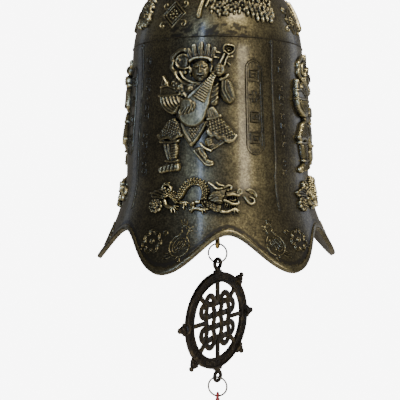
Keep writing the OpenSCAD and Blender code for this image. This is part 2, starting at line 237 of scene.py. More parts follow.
# Threads: three rings of fine yarns that hang straight, spread a little and end unevenly.
skirt_top = head_top - head_h
skirt_l = 46 * MM
skirt_r = 6.2 * MM
rng = np.random.default_rng(7)
bm = bmesh.new()
for share, count in ((0.35, 14), (0.68, 34), (0.97, 62)):
    for turn in range(count):
        yarn = bmesh.new()
        bmesh.ops.create_circle(yarn, segments=5, radius=0.3 * MM, cap_ends=True)
        reach = skirt_l * (1 - 0.05 * rng.random())
        sway = (rng.random(2) - 0.5) * 0.9 * MM
        angle = 2 * math.pi * (turn + 0.6 * rng.random()) / count
        steps = 10
        face = yarn.faces[:][0]
        for step in range(steps):
            grown = bmesh.ops.extrude_face_region(yarn, geom=[face])["geom"]
            bmesh.ops.delete(yarn, geom=[face], context="FACES_ONLY")
            face = [g for g in grown if isinstance(g, bmesh.types.BMFace)][0]
            bmesh.ops.translate(yarn, vec=(0, 0, -reach / steps), verts=face.verts)
        for vert in yarn.verts:
            t = -vert.co.z / skirt_l
            r = share * (0.45 * skirt_r + 0.55 * skirt_r * t ** 0.8)
            wave = math.sin(3.2 * t * math.pi + turn) * 0.16 * MM
            vert.co.x += r * math.cos(angle) + sway[0] * t + wave
            vert.co.y += r * math.sin(angle) + sway[1] * t
        bmesh.ops.recalc_face_normals(yarn, faces=yarn.faces)
        take_in(bm, yarn)
bmesh.ops.translate(bm, vec=(0, 0, skirt_top + 0.4 * MM), verts=bm.verts)
threads = finish_piece("tassel_threads_loose", bm, thread_polyester, "tassel")
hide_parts("tassel_threads")

# ---------------------------------------------------------------------------
# Bell wall: one brass casting, 2.6 mm thick, domed, near-cylindrical and flared into six lobes,
# with a half-round bead along the lip. It was poured in sand, chased, blackened with patina and
# rubbed back, so high places are worn to dull brass and hollows stay nearly black.
crown_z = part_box("bell_shell")[1][2] / MM
bell_h = 143.6
crown_r = 13.0
shoulder_r = 43.8
waist_r = 46.8
mouth_r = 61.5
wall = 2.6
dome_h = 43.5
skirt_h = 42.2
waist_s = bell_h - skirt_h
scallop = 16.8
bead_w = 2.6
bead_h = 0.7
lobe_power = 0.95
flare_power = 1.6
band_s = 37.6


def lobe(a):
    """1 at a lobe's tip and 0 in a valley, for an angle in degrees from the front."""
    return ((1 + np.cos(np.radians(6 * (a - 45)))) / 2) ** lobe_power


def lip_depth(a):
    return bell_h - scallop * (1 - lobe(a))


def wall_radius(s):
    """Outer radius in mm at a depth below the crown. Negative depths run inwards over its flat."""
    dome = crown_r + (shoulder_r - crown_r) * np.sqrt(np.clip(1 - ((dome_h - s) / dome_h) ** 2, 0, 1))
    body = shoulder_r + (waist_r - shoulder_r) * (1 - np.cos(np.pi * (s - dome_h) / (waist_s - dome_h))) / 2
    open_share = np.clip((s - waist_s) / skirt_h, 0, None) ** flare_power
    skirt = waist_r + (mouth_r - waist_r) * open_share
    return np.where(s <= 0, crown_r + s, np.where(s <= dome_h, dome, np.where(s <= waist_s, body, skirt)))


def on_wall(s, a, off=0.0):
    """Points in metres that stand off the wall by off mm, at depths s and angles a."""
    s, a = np.broadcast_arrays(np.asarray(s, float), np.asarray(a, float))
    run = wall_radius(s + 0.15) - wall_radius(s - 0.15)
    drop = np.where(s > 0, 0.3, np.clip(0.3 + s, 0, 0.3))
    length = np.hypot(run, drop)
    r = wall_radius(s) + off * drop / length
    z = crown_z - np.clip(s, 0, None) + off * run / length
    turn = np.radians(a)
    return np.stack([r * np.sin(turn), -r * np.cos(turn), z], axis=-1) * MM


def antiqued_brass():
    """Cast brass, blackened and rubbed back: crests worn to dull gold, hollows left dark and rough.

    The crest attribute is how far, in mm, a point stands above its surroundings; on the bell wall it also
    carries painted highlights on the lip bead and shoulder, and painted shade above the bead and round each
    relief.
    """
    material, shader = new_material("antiqued_cast_brass")
    place = add(material, "ShaderNodeTexCoord").outputs["Object"]
    crest = add(material, "ShaderNodeAttribute", {"attribute_name": "crest"}).outputs["Fac"]
    # Tarnish in clouds some 25 mm across, and blotches of 4 mm.
    clouds = add(material, "ShaderNodeTexNoise", {"Scale": 40.0, "Detail": 5.0, "Roughness": 0.6},
                 {0: place})
    blotches = add(material, "ShaderNodeTexNoise", {"Scale": 260.0, "Detail": 4.0, "Roughness": 0.65},
                   {0: place})
    # Sand grain of 1 mm, and polishing lines drawn round the bell.
    grain = add(material, "ShaderNodeTexNoise", {"Scale": 1100.0, "Detail": 3.0, "Roughness": 0.7},
                {0: place})
    drawn_out = add(material, "ShaderNodeMapping", {"Scale": (60.0, 60.0, 1500.0)}, {0: place})
    lines = add(material, "ShaderNodeTexNoise", {"Scale": 1.0, "Detail": 3.0, "Roughness": 0.6},
                {0: drawn_out.outputs[0]})

    # Crest turns into colour here; on the bell wall this also paints its highlights and shade.
    wear = add(material, "ShaderNodeMapRange", {"From Min": -0.55, "From Max": 0.75}, {0: crest}).outputs[0]
    mixed = add(material, "ShaderNodeMix", {"data_type": "FLOAT", "Factor": 0.45},
                {2: clouds.outputs["Fac"], 3: blotches.outputs["Fac"]}).outputs[0]
    tarnish = add(material, "ShaderNodeMapRange", {"From Min": 0.36, "From Max": 0.62, "To Min": -0.1,
                                                   "To Max": 0.1}, {0: mixed}).outputs[0]
    speck = add(material, "ShaderNodeMapRange", {"From Min": 0.38, "From Max": 0.62, "To Min": -0.11,
                                                 "To Max": 0.11}, {0: grain.outputs["Fac"]}).outputs[0]
    rubbed = add(material, "ShaderNodeMath", {"operation": "ADD"}, {0: wear, 1: tarnish}).outputs[0]
    rubbed = add(material, "ShaderNodeMath", {"operation": "ADD"}, {0: rubbed, 1: speck}).outputs[0]

    colour = add(material, "ShaderNodeValToRGB", links={0: rubbed})
    stops = colour.color_ramp.elements
    stops[0].position, stops[0].color = 0.04, linear("#100e0b")
    stops[1].position, stops[1].color = 1.0, linear("#c4bd99")
    for position, code in ((0.25, "#2b2920"), (0.44, "#504c3c"), (0.66, "#7a755a")):
        stops.new(position).color = linear(code)
    rough = add(material, "ShaderNodeMapRange", {"From Min": 0.1, "From Max": 0.8, "To Min": 0.48,
                                                 "To Max": 0.28}, {0: rubbed}).outputs[0]
    skin = add(material, "ShaderNodeMapRange", {"From Min": 0.0, "From Max": 0.3, "To Min": 0.6,
                                                "To Max": 1.0}, {0: rubbed}).outputs[0]
    height = add(material, "ShaderNodeMath", {"operation": "ADD"},
                 {0: grain.outputs["Fac"], 1: lines.outputs["Fac"]}).outputs[0]
    bump = add(material, "ShaderNodeBump", {"Strength": 0.35, "Distance": 0.00012}, {"Height": height})
    dents = add(material, "ShaderNodeBump", {"Strength": 0.35, "Distance": 0.0005},
                {"Height": blotches.outputs["Fac"], "Normal": bump.outputs[0]})
    link = material.node_tree.links.new
    link(colour.outputs[0], shader.inputs["Base Color"])
    link(rough, shader.inputs["Roughness"])
    link(skin, shader.inputs["Metallic"])
    link(dents.outputs[0], shader.inputs["Normal"])
    # Wax rubbed over the patina gives it a thin clear sheen.
    shader.inputs["Coat Weight"].default_value = 0.35
    shader.inputs["Coat Roughness"].default_value = 0.16
    return material


cast_brass = antiqued_brass()


def set_crest(mesh, values):
    layer = mesh.attributes.get("crest") or mesh.attributes.new("crest", "FLOAT", "POINT")
    layer.data.foreach_set("value", np.asarray(values, np.float32))


round_steps = 288
down_steps = 150
bead_rows = 14
hole_s = -10.3
lip_thinning = 0.9
lip_taper = 6
bm = bmesh.new()
bmesh.ops.create_grid(bm, x_segments=round_steps, y_segments=down_steps, size=1)
xy = np.array([vert.co[:2] for vert in bm.verts])
angle = 180 * xy[:, 0]
row = np.round((1 - xy[:, 1]) / 2 * down_steps)
bead_row = row - (down_steps - bead_rows)
lip = lip_depth(angle)
plain = np.clip(row / (down_steps - bead_rows), 0, 1)
depth = np.where(bead_row <= 0, hole_s + (lip - bead_w - hole_s) * plain,
                 lip - bead_w * (1 - bead_row / bead_rows))
bead = np.clip(1 - (2 * bead_row / bead_rows - 1) ** 2, 0, 1) ** 0.5 * bead_h * (bead_row > 0)
outside = on_wall(depth, angle, bead)
inside = on_wall(depth, angle, -wall + lip_thinning * np.clip(1 - (lip - depth) / lip_taper, 0, 1))
order = bm.verts.layers.int.new("order")
for i, vert in enumerate(bm.verts):
    vert[order] = i
    vert.co = inside[i]
bmesh.ops.remove_doubles(bm, verts=bm.verts, dist=1e-6)
grown = bmesh.ops.extrude_face_region(bm, geom=bm.faces[:])["geom"]
for vert in [item for item in grown if isinstance(item, bmesh.types.BMVert)]:
    vert.co = outside[vert[order]]
bm.verts.layers.int.remove(order)
bmesh.ops.recalc_face_normals(bm, faces=bm.faces)
bell = finish_piece("bell_wall_cast", bm, cast_brass, "bell", sharp=50)
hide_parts("bell_shell")
bell_points = np.array([vert.co for vert in bell.data.vertices]) / MM
bell_a = np.degrees(np.arctan2(bell_points[:, 0], -bell_points[:, 1]))
bell_s = crown_z - bell_points[:, 2]
bell_outside = np.hypot(bell_points[:, 0], bell_points[:, 1]) > wall_radius(bell_s) - 1.0
from_lip = lip_depth(bell_a) - bell_s
# Painted light along the lip: a painted highlight on the bead, and a band of painted shade just above it
# where the bead meets the wall.
lip_shade_band_w = 1.2
bead_painted_highlight = 0.12
lip_painted_shade = -0.45
# This array carries the wall's painted highlights and painted shade as well as its rough casting skin.
bell_wear_and_painted_light = np.where(from_lip < bead_w + lip_shade_band_w, lip_painted_shade, 0.0)
bell_wear_and_painted_light = np.where(from_lip < bead_w, bead_painted_highlight, bell_wear_and_painted_light)
# A painted highlight brightens the shoulder band, and the lower skirt is darkened towards the lip.
bell_wear_and_painted_light += 0.15 * np.clip(1 - np.abs(bell_s - 29) / 14, 0, 1) - 0.07 * np.clip((bell_s - 108) / 20, 0, 1)
# Rough, dark casting skin that the polishing missed lies in short level streaks on each shoulder.
rough_s = 31.5
rough_skin = (bell_s > rough_s) & (bell_s < band_s) & (np.abs((bell_a + 45 - 4) % 90 - 45) < 24)
streaks = np.random.default_rng(3).choice([0.0, 0.42], (8, 100), p=[0.62, 0.38])
streak_row = np.clip((bell_s - rough_s).astype(int), 0, 7)
streak_run = ((bell_a + 180) / 3.7 + 0.4 * streak_row).astype(int) % 100
bell_wear_and_painted_light -= rough_skin * streaks[streak_row, streak_run]

# ---------------------------------------------------------------------------
# Guardians: four cast figures of celestial guardians, one to a panel, soldered to the wall and
# chased. They share dress and stance; each holds its own emblem: lute, sword, parasol or pearl.


class Relief:
    """A relief modelled in wax: heights in mm over a flat field, u to the right and v up, in mm.

    Tools add wax as strokes, domes and plates. Heights under zero lie inside the wall.
    """

    def __init__(self, width, height, step=0.24):
        self.across = int(round(width / step))
        self.up = int(round(height / step))
        self.step = step
        self.u, self.v = np.meshgrid((np.arange(self.across + 1) - self.across / 2) * step,
                                     (np.arange(self.up + 1) - self.up / 2) * step)
        self.h = np.full(self.u.shape, -1.2)

    def lay(self, inside, wax, way):
        """way is set, which lays wax over what is there, max, which merges, or add, which follows it."""
        if way == "set":
            self.h[inside] = wax[inside]
        elif way == "max":
            self.h[inside] = np.maximum(self.h[inside], wax[inside])
        else:
            self.h[inside] += wax[inside]

    def curve(self, points, smooth):
        """Points along a Catmull-Rom curve through the given ones, with their shares of its length."""
        p = np.asarray(points, float)
        if smooth and len(p) > 2:
            ends = np.vstack([2 * p[0] - p[1], p, 2 * p[-1] - p[-2]])
            t = np.linspace(0, 1, 7)[:-1][:, None]
            parts = [0.5 * (2 * b + (c - a) * t + (2 * a - 5 * b + 4 * c - d) * t ** 2
                            + (3 * b - a - 3 * c + d) * t ** 3)
                     for a, b, c, d in zip(ends, ends[1:], ends[2:], ends[3:])]
            p = np.vstack([*parts, p[-1:]])
        run = np.concatenate([[0], np.cumsum(np.hypot(*np.diff(p, axis=0).T))])
        return p, run / max(run[-1], 1e-9)

    def stroke(self, points, width, rise, level=0.0, way="max", smooth=True, flat=0.0):
        """A round bead along a curve. width may be one number or several along it."""
        p, share = self.curve(points, smooth)
        widths = np.atleast_1d(np.asarray(width, float))
        half = np.interp(share, np.linspace(0, 1, len(widths)), widths) / 2
        reach = half.max() + self.step
        near = ((self.u > p[:, 0].min() - reach) & (self.u < p[:, 0].max() + reach)
                & (self.v > p[:, 1].min() - reach) & (self.v < p[:, 1].max() + reach))
        if not near.any():
            return
        u, v = self.u[near], self.v[near]
        best = np.full(u.shape, 9.0)
        for a, b, ra, rb in zip(p, p[1:], half, half[1:]):
            du, dv = b - a
            t = np.clip(((u - a[0]) * du + (v - a[1]) * dv) / max(du * du + dv * dv, 1e-9), 0, 1)
            best = np.minimum(best, np.hypot(u - a[0] - t * du, v - a[1] - t * dv) / (ra + t * (rb - ra)))
        wax = np.zeros(self.u.shape)
        core = np.clip((best - flat) / (1 - flat), 0, 1)
        wax[near] = rise * np.sqrt(1 - core ** 2) + (0 if way == "add" else level)
        inside = np.zeros(self.u.shape, bool)
        inside[near] = best < 1
        self.lay(inside, wax, way)

    def dome(self, centre, radii, rise, level=0.0, turn=0.0, way="set", flat=0.0):
        """An oval boss. turn is in degrees."""
        c, s = math.cos(math.radians(turn)), math.sin(math.radians(turn))
        du, dv = self.u - centre[0], self.v - centre[1]
        best = np.hypot((du * c + dv * s) / radii[0], (dv * c - du * s) / radii[1])
        core = np.clip((best - flat) / (1 - flat), 0, 1)
        self.lay(best < 1, rise * np.sqrt(1 - core ** 2) + (0 if way == "add" else level), way)

    def within(self, outline):
        """How far each place is inside an outline, in mm, and under zero outside."""
        p = np.asarray(outline, float)
        far = np.full(self.u.shape, 99.0)
        odd = np.zeros(self.u.shape, bool)
        for a, b in zip(p, np.roll(p, -1, axis=0)):
            du, dv = b - a
            t = np.clip(((self.u - a[0]) * du + (self.v - a[1]) * dv) / max(du * du + dv * dv, 1e-9), 0, 1)
            far = np.minimum(far, np.hypot(self.u - a[0] - t * du, self.v - a[1] - t * dv))
            if dv:
                crosses = (a[1] > self.v) != (b[1] > self.v)
                odd ^= crosses & (self.u < a[0] + (self.v - a[1]) * du / dv)
        return np.where(odd, far, -far)

    def plate(self, outline, rise, level=0.0, edge=1.2, way="set", smooth=True):
        """A flat-topped area with a rounded edge."""
        p = self.curve([*outline, outline[0]], smooth)[0][:-1]
        depth = self.within(p)
        core = 1 - np.clip(depth / edge, 0, 1)
        self.lay(depth > 0, rise * np.sqrt(1 - core ** 2) + (0 if way == "add" else level), way)

    def mail(self, outline, pitch, rise, turn=0.0):
        """Rows of overlapping scales over an area that has been laid."""
        depth = self.within(self.curve([*outline, outline[0]], True)[0][:-1])
        c, s = math.cos(math.radians(turn)), math.sin(math.radians(turn))
        x = (self.u * c + self.v * s) / pitch
        y = (self.v * c - self.u * s) / (0.62 * pitch)
        row = np.floor(y)
        x = x + 0.5 * (row % 2)
        local_x = x - np.floor(x) - 0.5
        local_y = y - row
        scale = np.clip(1 - (local_x / 0.5) ** 2 - (local_y / 0.95) ** 2, 0, 1) ** 0.5
        self.lay(depth > 0, rise * (scale - 0.45) * np.clip(depth / 0.5, 0, 1), "add")

    def softened(self, radius):
        """The heights, blurred over a radius in mm."""
        reach = int(math.ceil(2.5 * radius / self.step))
        weight = np.exp(-0.5 * (np.arange(-reach, reach + 1) * self.step / radius) ** 2)
        weight /= weight.sum()
        out = np.pad(self.h, reach, mode="edge")
        out = sum(w * out[:, i:i + self.h.shape[1]] for i, w in enumerate(weight))
        return sum(w * out[i:i + self.h.shape[0]] for i, w in enumerate(weight))


def patina_and_painted_shade_round(relief, middle_a, middle_s, scale_r):
    """Patina that gathers on the wall close round a relief, and painted contact shade where the relief meets
    the wall.
    """
    shape = Relief(0, 0)
    shape.step, shape.h = relief.step, (relief.h > 0).astype(float)
    shade = shape.softened(1.5)
    u = np.radians((bell_a - middle_a + 180) % 360 - 180) * scale_r
    v = middle_s - bell_s
    column = np.round(u / relief.step + relief.across / 2).astype(int)
    line = np.round(v / relief.step + relief.up / 2).astype(int)
    over = bell_outside & (column >= 0) & (column <= relief.across) & (line >= 0) & (line <= relief.up)
    # The wall is darkened round the relief: patina with painted contact shade.
    bell_wear_and_painted_light[over] -= 0.42 * shade[line[over], column[over]]


def cast_relief(name, relief, middle_a, middle_s, scale_r, node=None, settle=0.14, drop=0.6, worn=0.72):
    """Wrap a relief on the wall as closed pieces of one mesh, with its back sunk in by drop mm.

    worn is how bright its high places have been rubbed.
    """
    relief.h = relief.softened(settle)
    crest = worn * (relief.h - relief.softened(0.7) + 0.08 * np.clip(relief.h - 1.2, -1, 2)) - 0.1
    bm = bmesh.new()
    bmesh.ops.create_grid(bm, x_segments=relief.across, y_segments=relief.up, size=1)
    order = bm.verts.layers.int.new("order")
    for i, vert in enumerate(bm.verts):
        vert[order] = i
    xy = np.array([vert.co[:2] for vert in bm.verts])
    column = np.round((xy[:, 0] + 1) / 2 * relief.across).astype(int)
    line = np.round((xy[:, 1] + 1) / 2 * relief.up).astype(int)
    height = relief.h[line, column]
    angle = middle_a + np.degrees(relief.u[line, column] / scale_r)
    depth = middle_s - relief.v[line, column]
    front = on_wall(depth, angle, np.maximum(height, -0.4))
    back = on_wall(depth, angle, -drop)
    sunk = height < -0.3
    bmesh.ops.delete(bm, geom=[face for face in bm.faces if all(sunk[vert[order]] for vert in face.verts)],
                     context="FACES")
    grown = set(bmesh.ops.extrude_face_region(bm, geom=bm.faces[:])["geom"])
    for vert in bm.verts:
        vert.co = (front if vert in grown else back)[vert[order]]
    bmesh.ops.recalc_face_normals(bm, faces=bm.faces)
    values = crest[line, column][[vert[order] for vert in bm.verts]]
    bm.verts.layers.int.remove(order)
    piece = finish_piece(name, bm, cast_brass, "bell", sharp=70)
    set_crest(piece.data, values)
    # Darken the wall round the relief with patina and painted contact shade.
    patina_and_painted_shade_round(relief, middle_a, middle_s, scale_r)
    if node:
        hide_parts(node)
    return piece


def crowned_head(wax, u, v):
    """A crowned head with a calm, plain face: eyes half way up, the mouth a third of the way below."""
    for side, top, lean, level in ((-5.2, 5.0, -1.9, 0.4), (5.3, 5.2, 1.9, 0.4), (-2.9, 6.6, -0.9, 0.6),
                                   (3.0, 6.6, 0.9, 0.6), (0.1, 7.6, 0.0, 0.9)):
        foot = (u + side * 0.8, v + 4.4)
        tip = (u + side + 0.6 * lean, v + 4.4 + top)
        middle = ((foot[0] + tip[0]) / 2, (foot[1] + tip[1]) / 2)
        wax.stroke([foot, middle, tip], [2.2, 3.0, 2.5], 1.1, level, "set", flat=0.3)
        wax.stroke([foot, middle, tip], [1.2, 1.9, 1.3], -0.45, way="add", flat=0.5)
        wax.stroke([foot, middle, tip], 0.7, 0.5, way="add")
    wax.dome((u, v - 0.2), (4.3, 5.5), 2.1, 1.1)
    wax.stroke([(u - 5.0, v + 4.3), (u - 3.2, v + 5.3), (u, v + 5.8), (u + 3.2, v + 5.3),
                (u + 5.1, v + 4.2)], 1.5, 0.9, 2.3, "set")
    for side in (-1, 1):
        wax.dome((u + 4.7 * side, v + 0.1), (0.75, 1.5), 1.0, 1.2)
        wax.stroke([(u + 5.0 * side, v + 4.0), (u + 5.3 * side, v + 1.2), (u + 4.8 * side, v - 2.4)], 0.8,
                   1.0, 1.2)
        wax.stroke([(u + 0.9 * side, v + 2.5), (u + 2.0 * side, v + 2.9), (u + 3.3 * side, v + 2.3)], 0.75,
                   0.3, way="add")
        wax.dome((u + 1.85 * side, v + 1.35), (1.1, 0.62), 0.5, way="add")
        wax.stroke([(u + 0.8 * side, v + 1.2), (u + 1.8 * side, v + 0.8), (u + 2.9 * side, v + 1.2)], 0.5,
                   -0.7, way="add")
        wax.dome((u + 2.1 * side, v - 1.3), (1.5, 1.5), 0.28, way="add")
        wax.dome((u + 0.62 * side, v - 1.0), (0.5, 0.42), 0.3, way="add")
    wax.stroke([(u, v + 2.3), (u, v + 0.4), (u, v - 1.0)], [0.7, 0.8, 1.2], 0.75, way="add")
    wax.stroke([(u - 1.5, v - 2.6), (u, v - 2.8), (u + 1.5, v - 2.6)], 0.5, -0.75, way="add")
    wax.stroke([(u - 1.1, v - 2.2), (u, v - 2.35), (u + 1.1, v - 2.2)], 0.5, 0.25, way="add")
    wax.stroke([(u - 1.0, v - 3.1), (u, v - 3.25), (u + 1.0, v - 3.1)], 0.6, 0.3, way="add")
    wax.dome((u, v - 4.5), (1.3, 0.8), 0.3, way="add")


def fist(wax, u, v, level, turn=0.0):
    """A closed hand, with its four fingers across the far side."""
    wax.dome((u, v), (2.7, 3.2), 1.5, level, turn)
    for finger in range(4):
        lift = 1.9 - 1.25 * finger
        wax.stroke([(u - 2.9, v + lift), (u - 1.6, v + lift + 0.5), (u - 0.2, v + lift + 0.2)], 1.15, 0.75,
                   way="add")
    wax.stroke([(u + 0.6, v - 2.0), (u + 1.9, v - 0.2), (u + 1.5, v + 1.8)], 1.0, 0.4, way="add")


def legs_and_skirts(wax):
    """The stance: one leg straight, one knee raised outwards, mail skirts and a pointed apron."""
    wax.plate([(-18.4, -15.2), (-10.2, -15.2), (-10.6, -22.9), (-15.6, -22.9)], 1.4, 0.3, 2.0)
    for lean in (0.0, 1.7):
        wax.stroke([(-17.0 + lean, -15.4), (-16.0 + lean, -19.0), (-14.7 + 0.8 * lean, -22.8)], 0.9, 0.55,
                   way="add")
    for rib in range(6):
        wax.stroke([(-13.2, -16.1 - 1.15 * rib), (-10.7, -16.0 - 1.15 * rib)], 0.75, 0.5, way="add")
    wax.stroke([(-19.2, -14.6), (-14.5, -14.9), (-9.8, -14.4)], 1.6, 1.3, 0.9, "set")
    wax.plate([(-15.4, -23.9), (-9.6, -23.9), (-8.4, -26.3), (-9.4, -28.2), (-14.2, -28.5), (-18.4, -29.4),
               (-20.3, -28.3), (-19.9, -26.4), (-17.2, -25.1)], 1.6, 0.3, 1.3)
    for rib in range(5):
        wax.stroke([(-18.9 + 1.9 * rib, -28.6 + 0.25 * rib), (-18.2 + 1.9 * rib, -26.2 + 0.4 * rib)], 0.8,
                   0.45, way="add")
    wax.dome((-9.9, -26.3), (1.3, 1.7), 0.6, way="add")
    wax.stroke([(-15.9, -23.4), (-12.8, -23.7), (-9.8, -23.2)], 1.3, 1.3, 0.9, "set")

    wax.plate([(2.1, -14.5), (3.3, -12.2), (6.4, -11.5), (10.2, -13.2), (11.6, -15.2), (8.8, -17.0),
               (5.6, -18.7), (3.6, -17.8)], 1.4, 0.3, 1.3)
    wax.stroke([(11.5, -14.6), (8.8, -16.9), (5.4, -18.6)], 0.9, 0.6, way="add")
    wax.stroke([(10.4, -14.0), (7.8, -16.0), (4.9, -17.4)], 0.6, 0.5, way="add")
    wax.dome((3.9, -15.0), (2.0, 2.5), 0.5, turn=-28, way="add", flat=0.5)
    for rib in range(4):
        wax.stroke([(2.9 + 0.35 * rib, -13.8 - 0.95 * rib), (5.2 + 0.35 * rib, -13.2 - 0.95 * rib)], 0.55,
                   0.5, way="add")
    wax.plate([(-1.4, -17.4), (-2.9, -18.7), (-2.2, -20.2), (1.0, -24.0), (2.9, -25.7), (5.8, -25.9),
               (6.9, -24.4), (5.8, -22.9), (4.2, -22.6), (3.4, -20.0), (1.4, -16.8)], 1.8, 0.3, 1.0)
    wax.stroke([(-1.9, -18.8), (1.9, -23.2), (3.6, -24.6), (6.2, -24.5)], 0.6, -0.5, way="add")
    wax.stroke([(-0.2, -17.8), (0.6, -19.8), (3.0, -22.8)], 0.7, 0.5, way="add")
    wax.stroke([(2.6, -20.4), (3.6, -20.6), (3.3, -21.8), (4.6, -21.8), (4.3, -22.9)], 0.8, 0.6, way="add")
    wax.stroke([(0.6, -15.6), (2.4, -17.5), (5.3, -19.0)], 1.3, 1.2, 1.4, "set")

    left_skirt = [(-11.9, -3.4), (-9.3, -6.2), (-8.2, -10.6), (-9.8, -13.0), (-14.0, -13.7), (-18.8, -13.9),
                  (-20.4, -12.2), (-19.8, -10.4), (-17.8, -7.8), (-15.4, -4.8)]
    right_skirt = [(3.8, -5.2), (9.2, -3.6), (12.2, -6.3), (15.4, -9.8), (16.6, -12.4), (15.2, -14.2),
                   (12.6, -14.7), (9.8, -13.2), (6.9, -12.3), (4.0, -10.8), (3.2, -8.0)]
    wax.plate(left_skirt, 1.7, 0.4, 1.6)
    wax.mail(left_skirt, 1.5, 0.75, 25)
    wax.stroke([(-20.2, -11.8), (-18.6, -13.4), (-15.4, -12.6), (-12.4, -13.4), (-8.8, -11.4)], 1.7, 0.9,
               1.6, "set")
    wax.stroke([(-9.6, -10.6), (-8.4, -12.2), (-7.6, -11.2)], 1.2, 0.9, 1.4, "set")
    wax.plate(right_skirt, 2.0, 0.5, 1.6)
    wax.mail(right_skirt, 1.7, 0.9, -30)
    wax.stroke([(3.9, -10.2), (5.4, -12.2), (7.0, -11.5), (8.6, -13.2), (10.6, -12.9), (12.4, -14.5),
                (14.6, -14.2), (16.2, -12.2)], 2.0, 1.0, 1.8, "set")

    apron = [(-9.6, -6.0), (-2.0, -4.5), (4.2, -5.6), (2.6, -9.2), (-0.4, -14.0), (-3.0, -17.2),
             (-4.6, -16.6), (-7.6, -11.6)]
    wax.plate(apron, 1.5, 0.7, 1.2, smooth=False)
    wax.mail([(-6.6, -5.4), (1.8, -5.4), (-0.4, -10.2), (-2.9, -14.6), (-5.0, -10.6)], 1.35, 0.75)
    for width, lift in ((1.9, 0.5), (0.5, -0.35)):
        wax.stroke([(-8.8, -6.8), (-6.6, -11.6), (-3.4, -16.3)], width, lift, way="add")
        wax.stroke([(3.4, -6.2), (1.0, -11.2), (-3.0, -16.4)], width, lift, way="add")
    wax.dome((-3.3, -16.6), (1.5, 1.2), 0.7, way="add")

    wax.plate([(2.6, 2.0), (6.6, 1.0), (9.2, -3.4), (4.0, -5.2), (1.6, -2.0)], 1.7, 0.8, 1.2)
    for fold in range(5):
        wax.stroke([(3.4 + 0.7 * fold, 1.4 - 0.15 * fold), (4.2 + 1.15 * fold, -3.9 + 0.2 * fold)], 0.7,
                   0.5, way="add")
    wax.stroke([(3.6, -4.8), (6.6, -4.3), (9.4, -3.2)], 1.5, 1.0, 2.0, "set")


